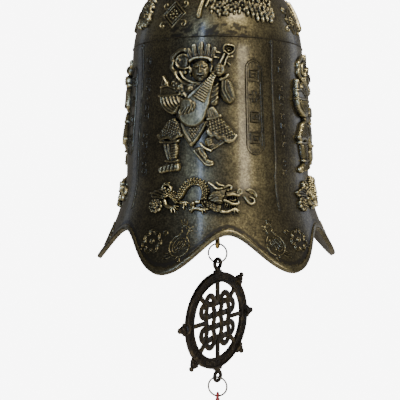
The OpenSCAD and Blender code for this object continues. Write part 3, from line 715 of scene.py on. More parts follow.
def torso_and_shoulder(wax):
    """Armour to the waist, a flared shoulder guard, a ribbed sleeve and a ribbon behind the head."""
    wax.stroke([(-7.4, 27.0), (-10.2, 27.2), (-12.6, 25.8)], 2.4, 1.2, 0.4)
    wax.stroke([(-12.8, 25.6), (-14.4, 24.0), (-14.0, 22.2)], 2.6, 1.3, 0.4)
    wax.stroke([(-14.2, 21.4), (-14.8, 19.6), (-13.2, 17.8), (-11.0, 17.2), (-7.6, 17.0)], 2.4, 1.3, 0.4)
    wax.dome((-9.0, 21.8), (3.3, 3.6), 0.9, 0.4, flat=0.6)
    wax.stroke([(-6.2, 24.2), (-8.4, 25.2), (-11.0, 24.2), (-12.0, 21.8), (-10.8, 19.4), (-8.2, 18.6),
                (-6.0, 18.9)], 1.1, 1.0, 1.2, "set")
    wax.stroke([(-12.0, 21.8), (-10.9, 23.2), (-10.0, 22.4), (-10.6, 21.6)], 0.8, 0.9, 1.2)
    wax.stroke([(-13.9, 23.0), (-12.6, 22.2)], 0.6, -0.5, way="add")

    wax.plate([(-11.8, 15.4), (-6.0, 13.4), (0.0, 12.4), (5.2, 10.5), (8.6, 12.8), (9.0, 7.0), (8.2, 2.0),
               (3.6, 0.0), (-3.0, -4.6), (-10.8, -4.4), (-11.4, 1.0), (-14.6, 6.8), (-14.8, 12.6)], 1.7,
              0.4, 1.6)
    wax.stroke([(-12.4, 16.8), (-10.2, 13.4), (-7.2, 11.4), (-3.4, 10.9)], 1.5, 1.0, 1.6, "set")
    wax.stroke([(-9.6, 17.2), (-7.4, 14.0), (-2.9, 11.9), (1.6, 11.8)], 1.3, 1.0, 1.8, "set")
    for row in range(3):
        for tile in range(4):
            wax.dome((-13.2 + 1.5 * tile + 0.3 * row, 12.6 - 1.6 * row - 0.9 * tile), (0.75, 0.6), 0.5,
                     turn=-30, way="add", flat=0.4)
    wax.stroke([(-10.6, 9.4), (-8.8, 11.0)], 1.3, 0.7, way="add")
    wax.dome((-5.2, 9.2), (2.1, 1.6), 0.7, turn=-15, way="add", flat=0.3)
    wax.dome((-5.1, 9.2), (0.7, 0.6), 0.6, way="add")
    wax.stroke([(-2.4, 10.4), (-1.0, 11.0), (0.8, 10.2)], 0.9, 0.6, way="add")
    for fold in range(4):
        wax.stroke([(4.6 + 0.3 * fold, 9.6 - 2.4 * fold), (6.6, 9.9 - 2.1 * fold),
                    (8.8, 11.6 - 2.1 * fold)], 0.8, 0.6, way="add")
    for fold in range(3):
        wax.stroke([(-10.0 + 1.2 * fold, 5.6 + 0.8 * fold), (-8.8 + 1.2 * fold, 3.6 + 0.8 * fold)], 1.0,
                   0.6, way="add")

    sleeve = [(-20.2, 8.6), (-15.6, 9.4), (-11.2, 7.4), (-7.4, 4.8), (-8.0, 0.6), (-11.4, -2.4),
              (-15.6, -1.8), (-18.8, 1.6), (-20.4, 5.0)]
    wax.plate(sleeve, 2.0, 0.5, 2.2)
    for rib in range(6):
        wax.stroke([(-20.2 + 1.9 * rib, 6.4 - 0.1 * rib), (-18.4 + 1.75 * rib, 1.6 + 0.35 * rib),
                    (-13.6 + 1.0 * rib, -1.6 + 0.75 * rib), (-10.4 + 0.55 * rib, -1.6 + 1.0 * rib)], 1.1,
                   0.8, way="add")
    wax.plate([(-19.2, 16.6), (-16.4, 13.6), (-15.0, 11.0), (-17.6, 9.8), (-20.4, 11.4)], 1.7, 0.5, 0.9,
              smooth=False)
    wax.stroke([(-18.9, 15.8), (-17.2, 13.0), (-17.4, 11.0)], 0.7, 0.6, way="add")
    wax.plate([(-20.6, 11.0), (-16.2, 11.6), (-11.8, 9.2), (-9.8, 6.6), (-14.8, 6.0), (-20.2, 6.6)], 1.5,
              1.0, 0.8, smooth=False)
    wax.stroke([(-20.2, 9.8), (-15.8, 10.2), (-11.2, 7.8)], 0.7, -0.5, way="add")
    wax.stroke([(-20.4, 6.4), (-15.4, 6.3), (-9.6, 6.6)], 1.3, 1.2, 2.0, "set")
    wax.stroke([(-20.4, 10.8), (-16.2, 11.4), (-11.6, 9.0)], 0.9, 0.6, way="add", smooth=False)


def raised_sleeve(wax):
    """The raised forearm's cuff, and its sleeve that hangs in long folds."""
    wax.plate([(9.6, 13.0), (12.6, 14.3), (15.2, 11.6), (16.8, 7.0), (16.4, 3.6), (13.8, 2.1), (11.0, 3.4),
               (9.0, 6.5), (8.7, 9.9)], 2.0, 0.5, 1.6)
    for fold, (top, low) in enumerate((((10.3, 12.4), (12.7, 3.6)), ((11.7, 12.8), (14.3, 3.4)))):
        middle = (top[0] + 0.0, (top[1] + low[1]) / 2 + 0.4)
        wax.stroke([top, middle, (low[0] - 0.9, low[1] + 1.9), low], 0.9, 0.7, way="add")
    for rib in range(7):
        wax.stroke([(12.9 + 0.32 * rib, 12.2 - 1.05 * rib), (14.9 + 0.27 * rib, 11.6 - 1.15 * rib)], 0.7,
                   0.6, way="add")
    wax.stroke([(9.5, 13.2), (11.1, 13.6), (12.8, 15.2)], 1.9, 1.3, 1.7, "set")


def lute(wax):
    """A pear-shaped lute held across the chest, with frets, pegs and a scrolled head."""
    spine = np.array([(-3.3, -1.8), (-1.6, 1.6), (1.0, 6.2), (4.2, 11.4), (7.4, 16.8)])
    wax.stroke(spine, [13.2, 11.4, 7.4, 3.9, 2.4], 1.5, 2.0, "set", flat=0.72)
    wax.stroke(spine, [11.2, 9.6, 5.9, 2.9, 1.5], -0.35, way="add", flat=0.8)
    along = np.array([0.53, 0.85])
    across = np.array([0.85, -0.53])
    for fret in range(12):
        share = fret / 11
        middle = np.array([-0.2, 4.4]) + along * 12.6 * share
        half = 2.5 * (1 - share) + 0.85 * share
        wax.stroke([middle - across * half, middle + across * half], 0.72, 0.65, way="add")
    wax.stroke([(6.6, 15.4), (9.4, 21.2), (11.2, 24.8)], [2.0, 1.7, 1.4], 1.4, 1.2)
    wax.stroke([(13.2, 24.8), (12.0, 22.2), (11.2, 19.4)], 1.1, 1.1, 1.0)
    wax.stroke([(13.2, 25.0), (11.0, 26.8), (11.5, 29.0), (13.7, 29.1), (16.1, 28.3), (15.6, 26.2),
                (13.4, 24.9)], 1.0, 1.2, 1.0)
    wax.stroke([(13.2, 26.2), (12.6, 27.4), (13.6, 28.0), (14.6, 27.3), (14.2, 26.4), (13.5, 26.9)], 0.7,
               1.0, 0.8)
    for peg in ((8.9, 23.2, 6.4, 23.6), (9.9, 25.4, 7.6, 26.0), (12.9, 23.6, 15.4, 23.9),
                (12.3, 21.4, 14.0, 20.0)):
        wax.stroke([peg[:2], peg[2:]], [0.8, 1.2], 1.2, 0.7)
    raised_sleeve(wax)
    fist(wax, 9.1, 17.4, 1.7)
    wax.plate([(-8.8, 3.6), (-6.6, 4.8), (-3.6, 4.0), (-3.0, 1.6), (-5.4, -0.6), (-8.6, -0.4)], 1.1, 2.8,
              1.0)
    for finger, (top, low) in enumerate((((-6.4, 1.2), (-8.0, -2.6)), ((-5.2, 2.2), (-6.3, -2.4)),
                                         ((-4.0, 2.8), (-4.5, -1.9)), ((-2.8, 2.6), (-2.9, -0.9)))):
        middle = ((top[0] + low[0]) / 2 + 0.9, (top[1] + low[1]) / 2 + 0.6)
        wax.stroke([top, middle, low], 0.95, 0.8, 3.2)
    wax.stroke([(-7.9, 0.4), (-8.9, -1.4), (-8.6, -2.8)], 1.1, 0.8, 3.0)


def sword(wax):
    """A straight sword held upright, with the free hand open at the belt."""
    wax.stroke([(9.2, 16.0), (11.2, 22.4), (13.4, 29.4)], [2.2, 2.0, 0.7], 1.3, 1.0)
    wax.stroke([(9.2, 16.0), (11.2, 22.4), (13.2, 28.6)], 0.45, 0.5, way="add")
    wax.stroke([(6.6, 16.6), (9.2, 15.4), (11.8, 15.4)], 1.4, 1.4, 1.5, "set")
    raised_sleeve(wax)
    wax.stroke([(8.9, 14.0), (7.6, 9.4)], 1.4, 1.2, 1.4)
    wax.dome((7.3, 8.6), (1.1, 1.1), 1.3, 1.4)
    fist(wax, 8.6, 12.6, 2.0)
    for row in range(5):
        wax.stroke([(-5.8, 6.8 - 2.0 * row), (-2.0, 6.0 - 2.0 * row), (2.6, 7.0 - 2.0 * row)], 1.1, 0.6,
                   way="add")
    wax.plate([(-8.0, 1.8), (-4.8, 3.4), (-1.6, 2.4), (-1.4, 0.0), (-4.4, -1.6), (-7.8, -0.9)], 1.2, 2.4,
              1.0)
    for finger in range(4):
        wax.stroke([(-2.8, 2.2 - 1.0 * finger), (0.4, 1.9 - 1.05 * finger)], 0.9, 0.8, 2.8)


def parasol(wax):
    """A furled parasol carried over the shoulder, with the free hand on its handle."""
    wax.stroke([(0.4, -4.0), (5.2, 5.6), (9.0, 13.6)], 1.2, 1.4, 2.0)
    wax.stroke([(8.4, 12.2), (10.6, 17.6), (12.8, 23.0), (14.6, 28.0)], [1.2, 4.6, 3.6, 0.8], 1.9, 1.0,
               "set")
    for rib in (-1.1, 0.0, 1.1):
        wax.stroke([(8.8 + 0.2 * rib, 13.0), (10.7 + rib, 17.6 - 0.4 * rib),
                    (12.9 + 0.8 * rib, 23.0 - 0.3 * rib), (14.5, 27.6)], 0.5, -0.55, way="add")
    wax.dome((14.7, 28.5), (0.9, 0.9), 1.4, 0.8)
    raised_sleeve(wax)
    fist(wax, 8.0, 10.8, 2.2)
    for row in range(4):
        wax.stroke([(-6.2, 6.6 - 2.2 * row), (-3.0, 5.6 - 2.2 * row), (0.2, 6.4 - 2.2 * row)], 1.1, 0.6,
                   way="add")
    fist(wax, 0.4, -2.4, 2.6)


def pearl(wax):
    """A flaming pearl held up, and a long ribbon wound about the other arm."""
    wax.dome((12.4, 22.8), (2.7, 2.7), 2.4, 0.8)
    for flame in range(5):
        turn = math.radians(20 + 36 * flame)
        root = (12.4 + 3.0 * math.cos(turn), 22.8 + 3.0 * math.sin(turn))
        tip = (12.4 + 5.6 * math.cos(turn + 0.3), 22.8 + 5.6 * math.sin(turn + 0.3))
        wax.stroke([root, ((root[0] + tip[0]) / 2 + 0.4, (root[1] + tip[1]) / 2), tip], [1.3, 0.4], 1.1, 0.5)
    raised_sleeve(wax)
    fist(wax, 10.0, 17.6, 2.0)
    wax.stroke([(3.4, 8.6), (-1.2, 9.0), (-4.6, 5.8), (-2.0, 2.6), (2.0, 0.8), (0.4, -3.0), (-4.8, -3.4),
                (-8.4, -1.0)], [1.4, 2.0, 2.2, 2.2, 2.2, 2.2, 2.2, 1.4], 1.5, 2.2, "set")
    wax.stroke([(3.4, 8.6), (-1.2, 9.0), (-4.6, 5.8), (-2.0, 2.6), (2.0, 0.8), (0.4, -3.0), (-4.8, -3.4),
                (-8.4, -1.0)], 0.5, -0.4, way="add")
    fist(wax, -6.4, 1.2, 2.6)


figure_s = 41.3 + 59.4 / 2
for turn, (node, emblem) in enumerate((("lute_guardian", lute), ("sword_guardian", sword),
                                       ("parasol_guardian", parasol), ("pearl_guardian", pearl))):
    wax = Relief(42, 61, step=0.23)
    legs_and_skirts(wax)
    torso_and_shoulder(wax)
    crowned_head(wax, 0.2, 17.6)
    emblem(wax)
    cast_relief(node + "_cast", wax, 90 * turn, figure_s, waist_r, node)

# ---------------------------------------------------------------------------
# Dragons: a cast dragon that chases a flaming pearl, soldered below each guardian.
dragon_s = 110.4
dragon_r = 47.6
for turn in range(4):
    wax = Relief(57, 18, step=0.17)
    # Tail: a ribbed leaf, a curl over it and a rose of cloud scrolls.
    wax.plate([(-25.2, 1.1), (-21.7, 2.4), (-17.1, 3.6), (-15.0, 0.8), (-15.9, -1.6), (-21.1, -2.2),
               (-23.6, -0.9)], 1.0, 0.2, 1.0)
    for tip, root in (((-24.8, 1.1), (-15.9, -0.8)), ((-21.7, 2.2), (-15.6, 0.0)),
                      ((-23.2, -0.7), (-16.2, -1.4)), ((-18.8, 3.0), (-15.4, 0.7))):
        wax.stroke([tip, ((tip[0] + root[0]) / 2, (tip[1] + root[1]) / 2 + 0.3), root], 0.8, 0.6, way="add")
    wax.stroke([(-17.9, 2.4), (-17.3, 4.5), (-15.2, 5.1), (-13.4, 3.9), (-12.9, 2.0), (-14.2, 1.0)], 1.2,
               1.4, 0.5)
    wax.stroke([(-17.6, 5.2), (-16.4, 6.1), (-14.6, 6.0)], 0.7, 1.0, 0.3)
    for middle in ((-16.3, 3.4), (-15.6, 2.0), (-14.4, 2.7), (-13.0, 1.0)):
        wax.dome(middle, (0.85, 0.8), 1.3, 0.8)
    wax.dome((-20.5, -4.7), (3.6, 3.2), 0.8, 0.2)
    for knob in range(9):
        swing = 2 * math.pi * knob / 9
        middle = (-20.5 + 2.8 * math.cos(swing), -4.7 + 2.5 * math.sin(swing))
        wax.dome(middle, (1.15, 1.05), 1.3, 0.4)
        wax.dome(middle, (0.42, 0.4), -0.6, way="add")
    for knob in range(5):
        swing = 2 * math.pi * knob / 5
        wax.dome((-20.5 + 1.2 * math.cos(swing), -4.7 + 1.1 * math.sin(swing)), (0.8, 0.75), 1.3, 0.9)
    wax.dome((-20.5, -4.7), (0.6, 0.6), 1.4, 1.0)

    # Legs, and feet with three or four claws.
    for leg, width in (([(-15.6, -2.4), (-14.4, -4.5), (-11.9, -5.3)], 2.2),
                       ([(-10.2, -1.6), (-8.4, -2.6), (-6.4, -3.1)], 2.0),
                       ([(1.4, -2.3), (-1.2, -2.6), (-2.7, -3.5), (-2.0, -4.8), (-2.3, -5.7)], 1.9),
                       ([(-2.3, -5.6), (-0.4, -5.4), (1.6, -6.0)], 1.7),
                       ([(9.0, -5.8), (10.4, -6.8), (12.2, -6.9), (13.9, -6.2)], 1.7)):
        wax.stroke(leg, width, 1.8, 0.5)
    wax.dome((-2.2, -3.3), (1.1, 1.0), 1.7, 0.8)
    for heel, toes in (((-12.2, -5.3), ((-8.6, -4.7), (-8.9, -6.1), (-9.7, -7.3), (-11.4, -7.4))),
                       ((-6.8, -3.1), ((-4.0, -3.3), (-4.8, -4.7), (-6.1, -5.9))),
                       ((1.2, -6.0), ((3.9, -6.1), (3.4, -7.0), (2.1, -7.5))),
                       ((-2.3, -5.6), ((-2.8, -7.2), (-3.6, -6.5))),
                       ((13.9, -6.2), ((16.6, -5.6), (17.7, -6.7), (17.2, -7.4), (15.4, -7.4)))):
        for toe in toes:
            bent = ((heel[0] + toe[0]) / 2 + 0.2, (heel[1] + toe[1]) / 2 + 0.5)
            wax.stroke([heel, bent, toe], [1.3, 1.0, 0.6], 1.5, 0.5)
    wax.stroke([(0.9, -4.3), (2.7, -5.0), (4.6, -5.6)], 1.0, 1.2, 0.4)

    # Body: the hind part, then one arch to the chest, all in rows of round scales.
    hind = [(-15.9, -0.3), (-13.6, 0.7), (-11.3, -0.5), (-9.6, -2.0)]
    arch = [(-9.9, -2.4), (-8.2, 0.0), (-6.7, 3.0), (-4.5, 5.6), (-1.8, 6.4), (0.9, 5.7), (2.5, 3.5),
            (2.8, 0.8), (2.5, -1.6), (3.0, -3.2)]
    chest = [(1.6, -1.6), (4.5, -1.8), (7.6, -3.2), (10.0, -4.3), (9.8, -6.3), (8.5, -7.1), (6.6, -6.6),
             (4.7, -5.4), (2.6, -4.0)]
    wax.stroke(hind, [2.4, 2.8, 2.8], 1.7, 0.5, "set")
    wax.stroke(arch, [2.6, 3.1, 3.2, 3.2, 3.2, 3.4], 1.8, 0.6, "set", flat=0.2)
    wax.plate(chest, 1.7, 0.5, 1.2)
    for spine, rows in ((hind, 7), (arch, 23)):
        line, share = wax.curve(spine, True)
        for row in range(rows):
            at = (row + 0.5) / rows
            middle, ahead = (np.array([np.interp(at + d, share, line[:, 0]),
                                       np.interp(at + d, share, line[:, 1])]) for d in (-0.015, 0.015))
            run = (ahead - middle) / max(np.hypot(*(ahead - middle)), 1e-6)
            side = np.array([-run[1], run[0]])
            for lane in (-1.0, 0.0, 1.0):
                wax.dome(middle + side * lane + run * 0.5 * (lane == 0), (0.46, 0.46), 0.9, way="add",
                         flat=0.2)
            wax.dome(middle + side * 1.8, (0.55, 0.55), 1.7, 0.2, way="max")
    for row in range(5):
        for lane in range(4):
            wax.dome((4.0 + 1.35 * row, -2.9 - 0.95 * lane - 0.35 * row), (0.62, 0.34), 0.7, turn=-25,
                     way="add")

    # Head: combed mane, two horns, brow, jaws, tongue, teeth and beard.
    wax.plate([(4.3, 0.6), (6.7, 2.4), (9.8, 3.6), (13.0, 3.3), (12.8, 0.4), (11.6, -2.3), (8.9, -3.9),
               (5.4, -2.7), (3.9, -1.4)], 1.5, 0.5, 1.0)
    for lock in range(8):
        root = np.array([11.8 - 0.25 * lock, 2.9 - 0.75 * lock])
        tip = np.array([4.3 + 0.3 * (lock % 2) + 0.25 * max(lock - 4, 0), 0.9 - 0.6 * lock])
        wax.stroke([root, (root + tip) / 2 + (0, 0.5), tip], [0.85, 0.85, 0.5], 0.75, way="add")
    wax.stroke([(4.2, 6.4), (6.2, 4.8), (7.8, 3.4), (10.3, 3.4), (12.6, 4.3)], [0.7, 1.3, 1.5, 1.5, 1.3],
               1.5, 1.6, "set")
    wax.stroke([(7.6, 6.6), (9.1, 5.2), (11.4, 4.5)], [0.7, 1.1, 1.2], 1.5, 1.0)
    wax.stroke([(10.9, 3.6), (12.9, 4.8), (14.2, 4.3), (13.9, 3.0)], 1.2, 1.5, 1.7, "set")
    wax.dome((12.7, 2.9), (0.85, 0.72), 1.2, 1.9)
    wax.dome((12.8, 2.9), (0.32, 0.3), -0.6, way="add")
    wax.plate([(11.4, 2.0), (13.4, 2.3), (15.9, 2.4), (18.2, 2.7), (18.6, 0.9), (17.8, -0.2), (14.7, 0.0),
               (11.8, -0.2)], 1.6, 0.8, 0.8)
    wax.stroke([(8.9, -0.7), (11.6, 0.1), (14.7, 0.3), (17.9, 0.0)], 0.8, 0.6, way="add")
    wax.stroke([(12.6, 1.6), (14.4, 1.7), (16.0, 1.5)], 0.5, -0.5, way="add")
    wax.stroke([(16.6, 1.4), (17.2, 2.9), (18.6, 2.6), (18.6, 1.2), (17.7, 1.0)], 0.8, 1.0, 2.0)
    wax.stroke([(11.0, -1.8), (12.9, -2.6), (14.8, -3.5), (17.0, -3.3), (17.1, -1.9)],
               [1.8, 1.6, 1.5, 1.3, 0.8], 1.6, 1.0, "set")
    wax.dome((14.6, -1.1), (2.3, 0.85), 0.5, 0.1, turn=-10)
    wax.stroke([(13.2, -1.5), (14.8, -1.9), (16.0, -1.5)], 0.8, 0.9, 0.6)
    for tooth in range(4):
        wax.stroke([(13.4 + 1.1 * tooth, -0.2), (13.6 + 1.1 * tooth, -1.0)], [0.7, 0.35], 1.0, 0.9)
    for hair in range(6):
        wax.stroke([(11.6 + 0.95 * hair, -3.0 - 0.25 * min(hair, 3)),
                    (11.2 + 0.95 * hair, -5.0 + 0.1 * hair)], [0.9, 0.5], 1.2, 0.7)

    # The pearl, as two curled flames.
    wax.plate([(20.2, 2.9), (22.7, 3.7), (25.0, 2.8), (26.3, 0.6), (25.5, -0.9), (24.2, 0.6), (22.6, 1.5)],
              1.2, 0.3, 0.8)
    for low in (0.0, 0.8):
        wax.stroke([(20.9, 2.8 - 0.5 * low), (23.0, 2.7 - low), (25.2, 0.8 - low)], 0.5, -0.5, way="add")
    wax.stroke([(19.8, -0.1), (21.1, -1.9), (22.7, -3.4), (24.3, -2.8), (24.1, -1.1), (22.4, -0.4)],
               [0.7, 1.2, 1.5, 1.4, 1.0, 0.7], 1.3, 0.4)
    cast_relief("dragon_cast_%d" % turn, wax, 90 * turn, dragon_s, dragon_r,
                "dragon_friezes" if turn == 0 else None, settle=0.09, worn=0.68)

# ---------------------------------------------------------------------------
# Raised marks: fine lines cast on the wall itself. A band runs round below the shoulder and a rib
# down between two panels; a long cartouche and columns of small worn signs stand beside each
# guardian. The signs are plain frets, rosettes and lozenges.


def sign(wax, kind, u, v, size, rise, width):
    """A small square ornament of thin lines: fret, rosette, lozenge, ring, ladder or stepped cross."""
    half = size / 2

    def line(points, smooth=False):
        wax.stroke([(u + x * half, v + y * half) for x, y in points], width, rise, smooth=smooth)

    if kind == 0:
        line([(-1, -1), (1, -1), (1, 1), (-0.9, 1), (-0.9, -0.3), (0.3, -0.3), (0.3, 0.4), (-0.3, 0.4)])
    elif kind == 1:
        for swing in range(4):
            c, s = math.cos(math.pi / 4 + math.pi / 2 * swing), math.sin(math.pi / 4 + math.pi / 2 * swing)
            line([(0, 0), (0.9 * c - 0.3 * s, 0.9 * s + 0.3 * c), (1.1 * c, 1.1 * s),
                  (0.9 * c + 0.3 * s, 0.9 * s - 0.3 * c), (0, 0)], True)
    elif kind == 2:
        line([(0, 1), (0.9, 0), (0, -1), (-0.9, 0), (0, 1)])
        line([(0, 0.45), (0.4, 0), (0, -0.45), (-0.4, 0), (0, 0.45)])
    elif kind == 3:
        line([(-0.9, 0.9), (0.9, 0.9), (0.9, -0.9), (-0.9, -0.9), (-0.9, 0.9)])
        line([(-0.35, 0.35), (0.35, 0.35), (0.35, -0.35), (-0.35, -0.35), (-0.35, 0.35)])
    elif kind == 4:
        line([(1, 1), (-1, 1), (-1, -1), (0.9, -1), (0.9, 0.3), (-0.3, 0.3), (-0.3, -0.4), (0.3, -0.4)])
    else:
        line([(-1, 0.35), (-0.35, 0.35), (-0.35, 1), (0.35, 1), (0.35, 0.35), (1, 0.35)])
        line([(-1, -0.35), (-0.35, -0.35), (-0.35, -1), (0.35, -1), (0.35, -0.35), (1, -0.35)])


panel_r = 46.0
panel_s = 76.0
for turn in range(4):
    wax = Relief(74.5, 86)
    top = panel_s - band_s
    # Band: a raised line all round, worn through in places, and the rib on each panel's right.
    side = math.radians(45) * panel_r
    wax.stroke([(-side - 0.5, top), (side + 0.5, top)], 0.7, 0.4)
    wax.stroke([(side, top), (side + 0.1, 10), (side, -22), (side - 0.1, -41)], 1.2, 0.35)
    wax.stroke([(side - 2.6, top - 1.5), (side - 1.2, top - 1.2), (side - 1.0, top - 4)], 0.6, 0.4)

    # Cartouche: two lines round four large signs.
    middle = math.radians(32) * panel_r
    for half, rise in ((4.3, 0.45), (3.3, 0.3)):
        turns = [math.pi * step / 8 for step in range(9)]
        oval = [(middle + half * math.cos(t), 23.9 + half * math.sin(t)) for t in turns]
        oval += [(middle - half * math.cos(t), -11.3 - half * math.sin(t)) for t in turns]
        wax.stroke([*oval, oval[0]], 0.6, rise, smooth=False)
    for row, kind in enumerate((0, 5, 3, 4)):
        sign(wax, (kind + turn) % 6, middle, 20.6 - 9.5 * row, 5.0, 0.52, 0.8)

    # A column of smaller signs, cast shallow and half lost.
    place = math.radians(-38) * panel_r
    for row in range(13):
        if (row * 5 + turn) % 8 != 3:
            sign(wax, (row * 2 + turn) % 6, place, 29.0 - 4.4 * row, 3.1, 0.38, 0.55)
    cast_relief("panel_marks_%d" % turn, wax, 90 * turn, panel_s, panel_r, settle=0.12, worn=-0.15)

# ---------------------------------------------------------------------------
# Lobe motifs: birds and clouds in thin raised lines, cast on the six lobes above the lip.
motif_s = 130.0
motif_r = 53.0
for turn in range(6):
    wax = Relief(37, 20)

    def thin(points, u, v, way, width=0.72, rise=0.55):
        wax.stroke([(u + way * x, v + y) for x, y in points], width, rise)

    way = 1 if turn % 2 else -1
    # Bird: a round crested head, an open beak, a folded wing of long feathers, a short tail, two legs.
    u, v = 7.0 * way, 0.2
    thin([(1.6 + 1.7 * math.cos(t), 5.2 + 1.7 * math.sin(t)) for t in np.linspace(-0.6, 4.1, 9)], u, v, way,
         0.55)
    thin([(3.2, 6.0), (5.2, 6.3), (3.4, 5.3), (4.9, 4.6), (3.1, 4.2)], u, v, way, 0.45)
    wax.dome((u + 2.0 * way, v + 5.6), (0.4, 0.4), 0.5)
    for tip in (-1.2, 0.5, 2.1):
        thin([(0.8 + 0.4 * tip, 6.8), (0.5 + 0.8 * tip, 8.0), (tip, 9.2)], u, v, way, 0.5)
    thin([(3.0, 4.0), (2.5, 2.2), (3.7, 0.2), (4.0, -2.6), (2.5, -5.2), (0.2, -6.4)], u, v, way)
    thin([(0.3, 4.2), (-1.0, 2.6), (-3.2, 1.0), (-4.6, -1.6), (-4.2, -4.4), (-2.6, -6.0), (0.2, -6.4)], u,
         v, way)
    thin([(1.3, 1.5), (-1.5, 0.7), (-3.2, -2.0), (-2.2, -4.8), (0.8, -3.2), (2.3, -0.4), (1.3, 1.5)], u, v,
         way, 0.55)
    for top, low in (((0.0, 0.6), (-2.3, -2.9)), ((0.8, 0.3), (-1.5, -4.0)), ((1.5, -0.4), (-0.3, -3.3))):
        thin([top, low], u, v, way, 0.45, 0.42)
    for row in range(3):
        thin([(2.4, 0.2 - 1.5 * row), (3.0, -0.5 - 1.5 * row), (3.6, 0.0 - 1.5 * row)], u, v, way, 0.4, 0.4)
    for fall in range(3):
        thin([(-2.4 - 0.6 * fall, -5.8 + 0.7 * fall), (-4.4 - 0.5 * fall, -7.2 + 0.9 * fall),
              (-6.6 - 0.3 * fall, -7.6 + 1.2 * fall)], u, v, way, 0.5)
    for foot in (-0.6, 0.9):
        thin([(foot, -6.4), (foot - 0.1, -8.0), (foot + 1.1, -8.4)], u, v, way, 0.45)
    # Cloud: a round of scalloped scrolls about a curl.
    u, v = -7.0 * way, -0.6
    thin([(1.3 * (1 - t / 14) * math.cos(0.7 * t), 1.3 * (1 - t / 14) * math.sin(0.7 * t))
          for t in range(13)], u, v, way)
    for lobe_turn, reach in ((0, 3.4), (51, 3.2), (103, 3.6), (154, 3.3), (206, 3.5), (257, 3.2),
                             (309, 3.5)):
        c, s = math.cos(math.radians(lobe_turn)), math.sin(math.radians(lobe_turn))
        for r in (1.75, 1.0):
            scallop_arc = [(reach * c + r * math.cos(t) * c - r * math.sin(t) * s,
                            reach * s + r * math.cos(t) * s + r * math.sin(t) * c)
                           for t in np.linspace(-1.9, 1.9, 9)]
            thin(scallop_arc, u, v, way, 0.5)
    thin([(4.8, 3.8), (6.2, 5.0), (7.4, 4.0), (6.6, 3.0), (5.9, 3.7)], u, v, way, 0.5)
    thin([(-4.6, -3.6), (-6.4, -4.6), (-7.2, -3.2), (-6.2, -2.6)], u, v, way, 0.5)
    cast_relief("lobe_motif_%d" % turn, wax, 45 + 60 * turn, motif_s, motif_r, settle=0.1, worn=0.3)

# ---------------------------------------------------------------------------
# Shoulder wreath: a ring of cast bunches of fruit and leaves round the dome, with an open space over
# each panel's left for a square ornament.
wax = Relief(262, 30, step=0.34)
rng = np.random.default_rng(5)
wreath_r = 41.0
wreath_s = 18.0
for turn in range(4):
    base = math.radians(90 * turn) * wreath_r
    if base > math.pi * wreath_r:
        base -= 2 * math.pi * wreath_r

    def at(degrees):
        """A place that many degrees from the panel's middle, wrapped into the field."""
        u = base + math.radians(degrees) * wreath_r
        return (u + math.pi * wreath_r) % (2 * math.pi * wreath_r) - math.pi * wreath_r

    # Leaves above, then the bunch itself: berries pressed close together.
    for leaf in range(10):
        u = at(0 + 6.4 * leaf)
        v = 7.5 + 2.0 * math.sin(1.7 * leaf)
        wax.dome((u, v), (3.4, 1.9), 1.2, 0.2, turn=35 * math.sin(2.3 * leaf), way="max")
        wax.stroke([(u - 2.4, v - 0.6), (u + 2.4, v + 0.6)], 0.5, -0.4, way="add")
    for row in range(11):
        for berry in range(16):
            degrees = 5.5 + 2.75 * berry + rng.uniform(-0.8, 0.8) + 1.4 * (row % 2)
            share = (degrees - 5) / 46
            low = -8.4 - 1.7 * math.sin(2.6 * math.pi * share)
            v = 5.5 - 1.5 * row + rng.uniform(-0.5, 0.5)
            if v > low and degrees < 52:
                size = rng.uniform(0.75, 1.15)
                wax.dome((at(degrees), v), (size, size * rng.uniform(0.95, 1.35)), rng.uniform(1.2, 1.6),
                         0.1, way="max")
    # Long fingers of fruit hang lowest, on the right.
    for finger in range(7):
        u = at(29.5 + 3.1 * finger + rng.uniform(-0.7, 0.7))
        tip = -12.2 + 0.6 * abs(finger - 3.4) ** 1.3 + rng.uniform(-0.4, 1.4)
        wax.stroke([(u - 0.9, tip + 6.2), (u - 0.2, tip + 3.0), (u + 0.3, tip)], [1.5, 2.0, 1.7], 1.6, 0.2,
                   "set")
        wax.stroke([(u - 0.5, tip + 4.4), (u, tip + 0.6)], 0.4, -0.5, way="add")
    # A drop-shaped bud on a stem hangs at the left end, beside a leaf.
    u = at(-1.5)
    wax.stroke([(u + 2.4, 3.5), (u + 1.2, -3.5), (u + 0.2, -7.0), (u - 0.3, -9.8)], [2.0, 1.9, 2.5, 3.2],
               1.7, 0.2, "set")
    wax.stroke([(u + 1.6, -3.0), (u + 0.4, -7.0), (u - 0.2, -10.4)], 0.5, -0.5, way="add")
    wax.stroke([(u + 3.6, 2.0), (u + 4.0, -2.6), (u + 2.9, -5.8)], [1.8, 2.2, 1.2], 1.4, 0.2, "set")
wax.h[:, :2] = -1.2
wax.h[:, -2:] = -1.2
cast_relief("shoulder_wreath_cast", wax, 0, wreath_s, wreath_r, "shoulder_wreath", drop=0.6)

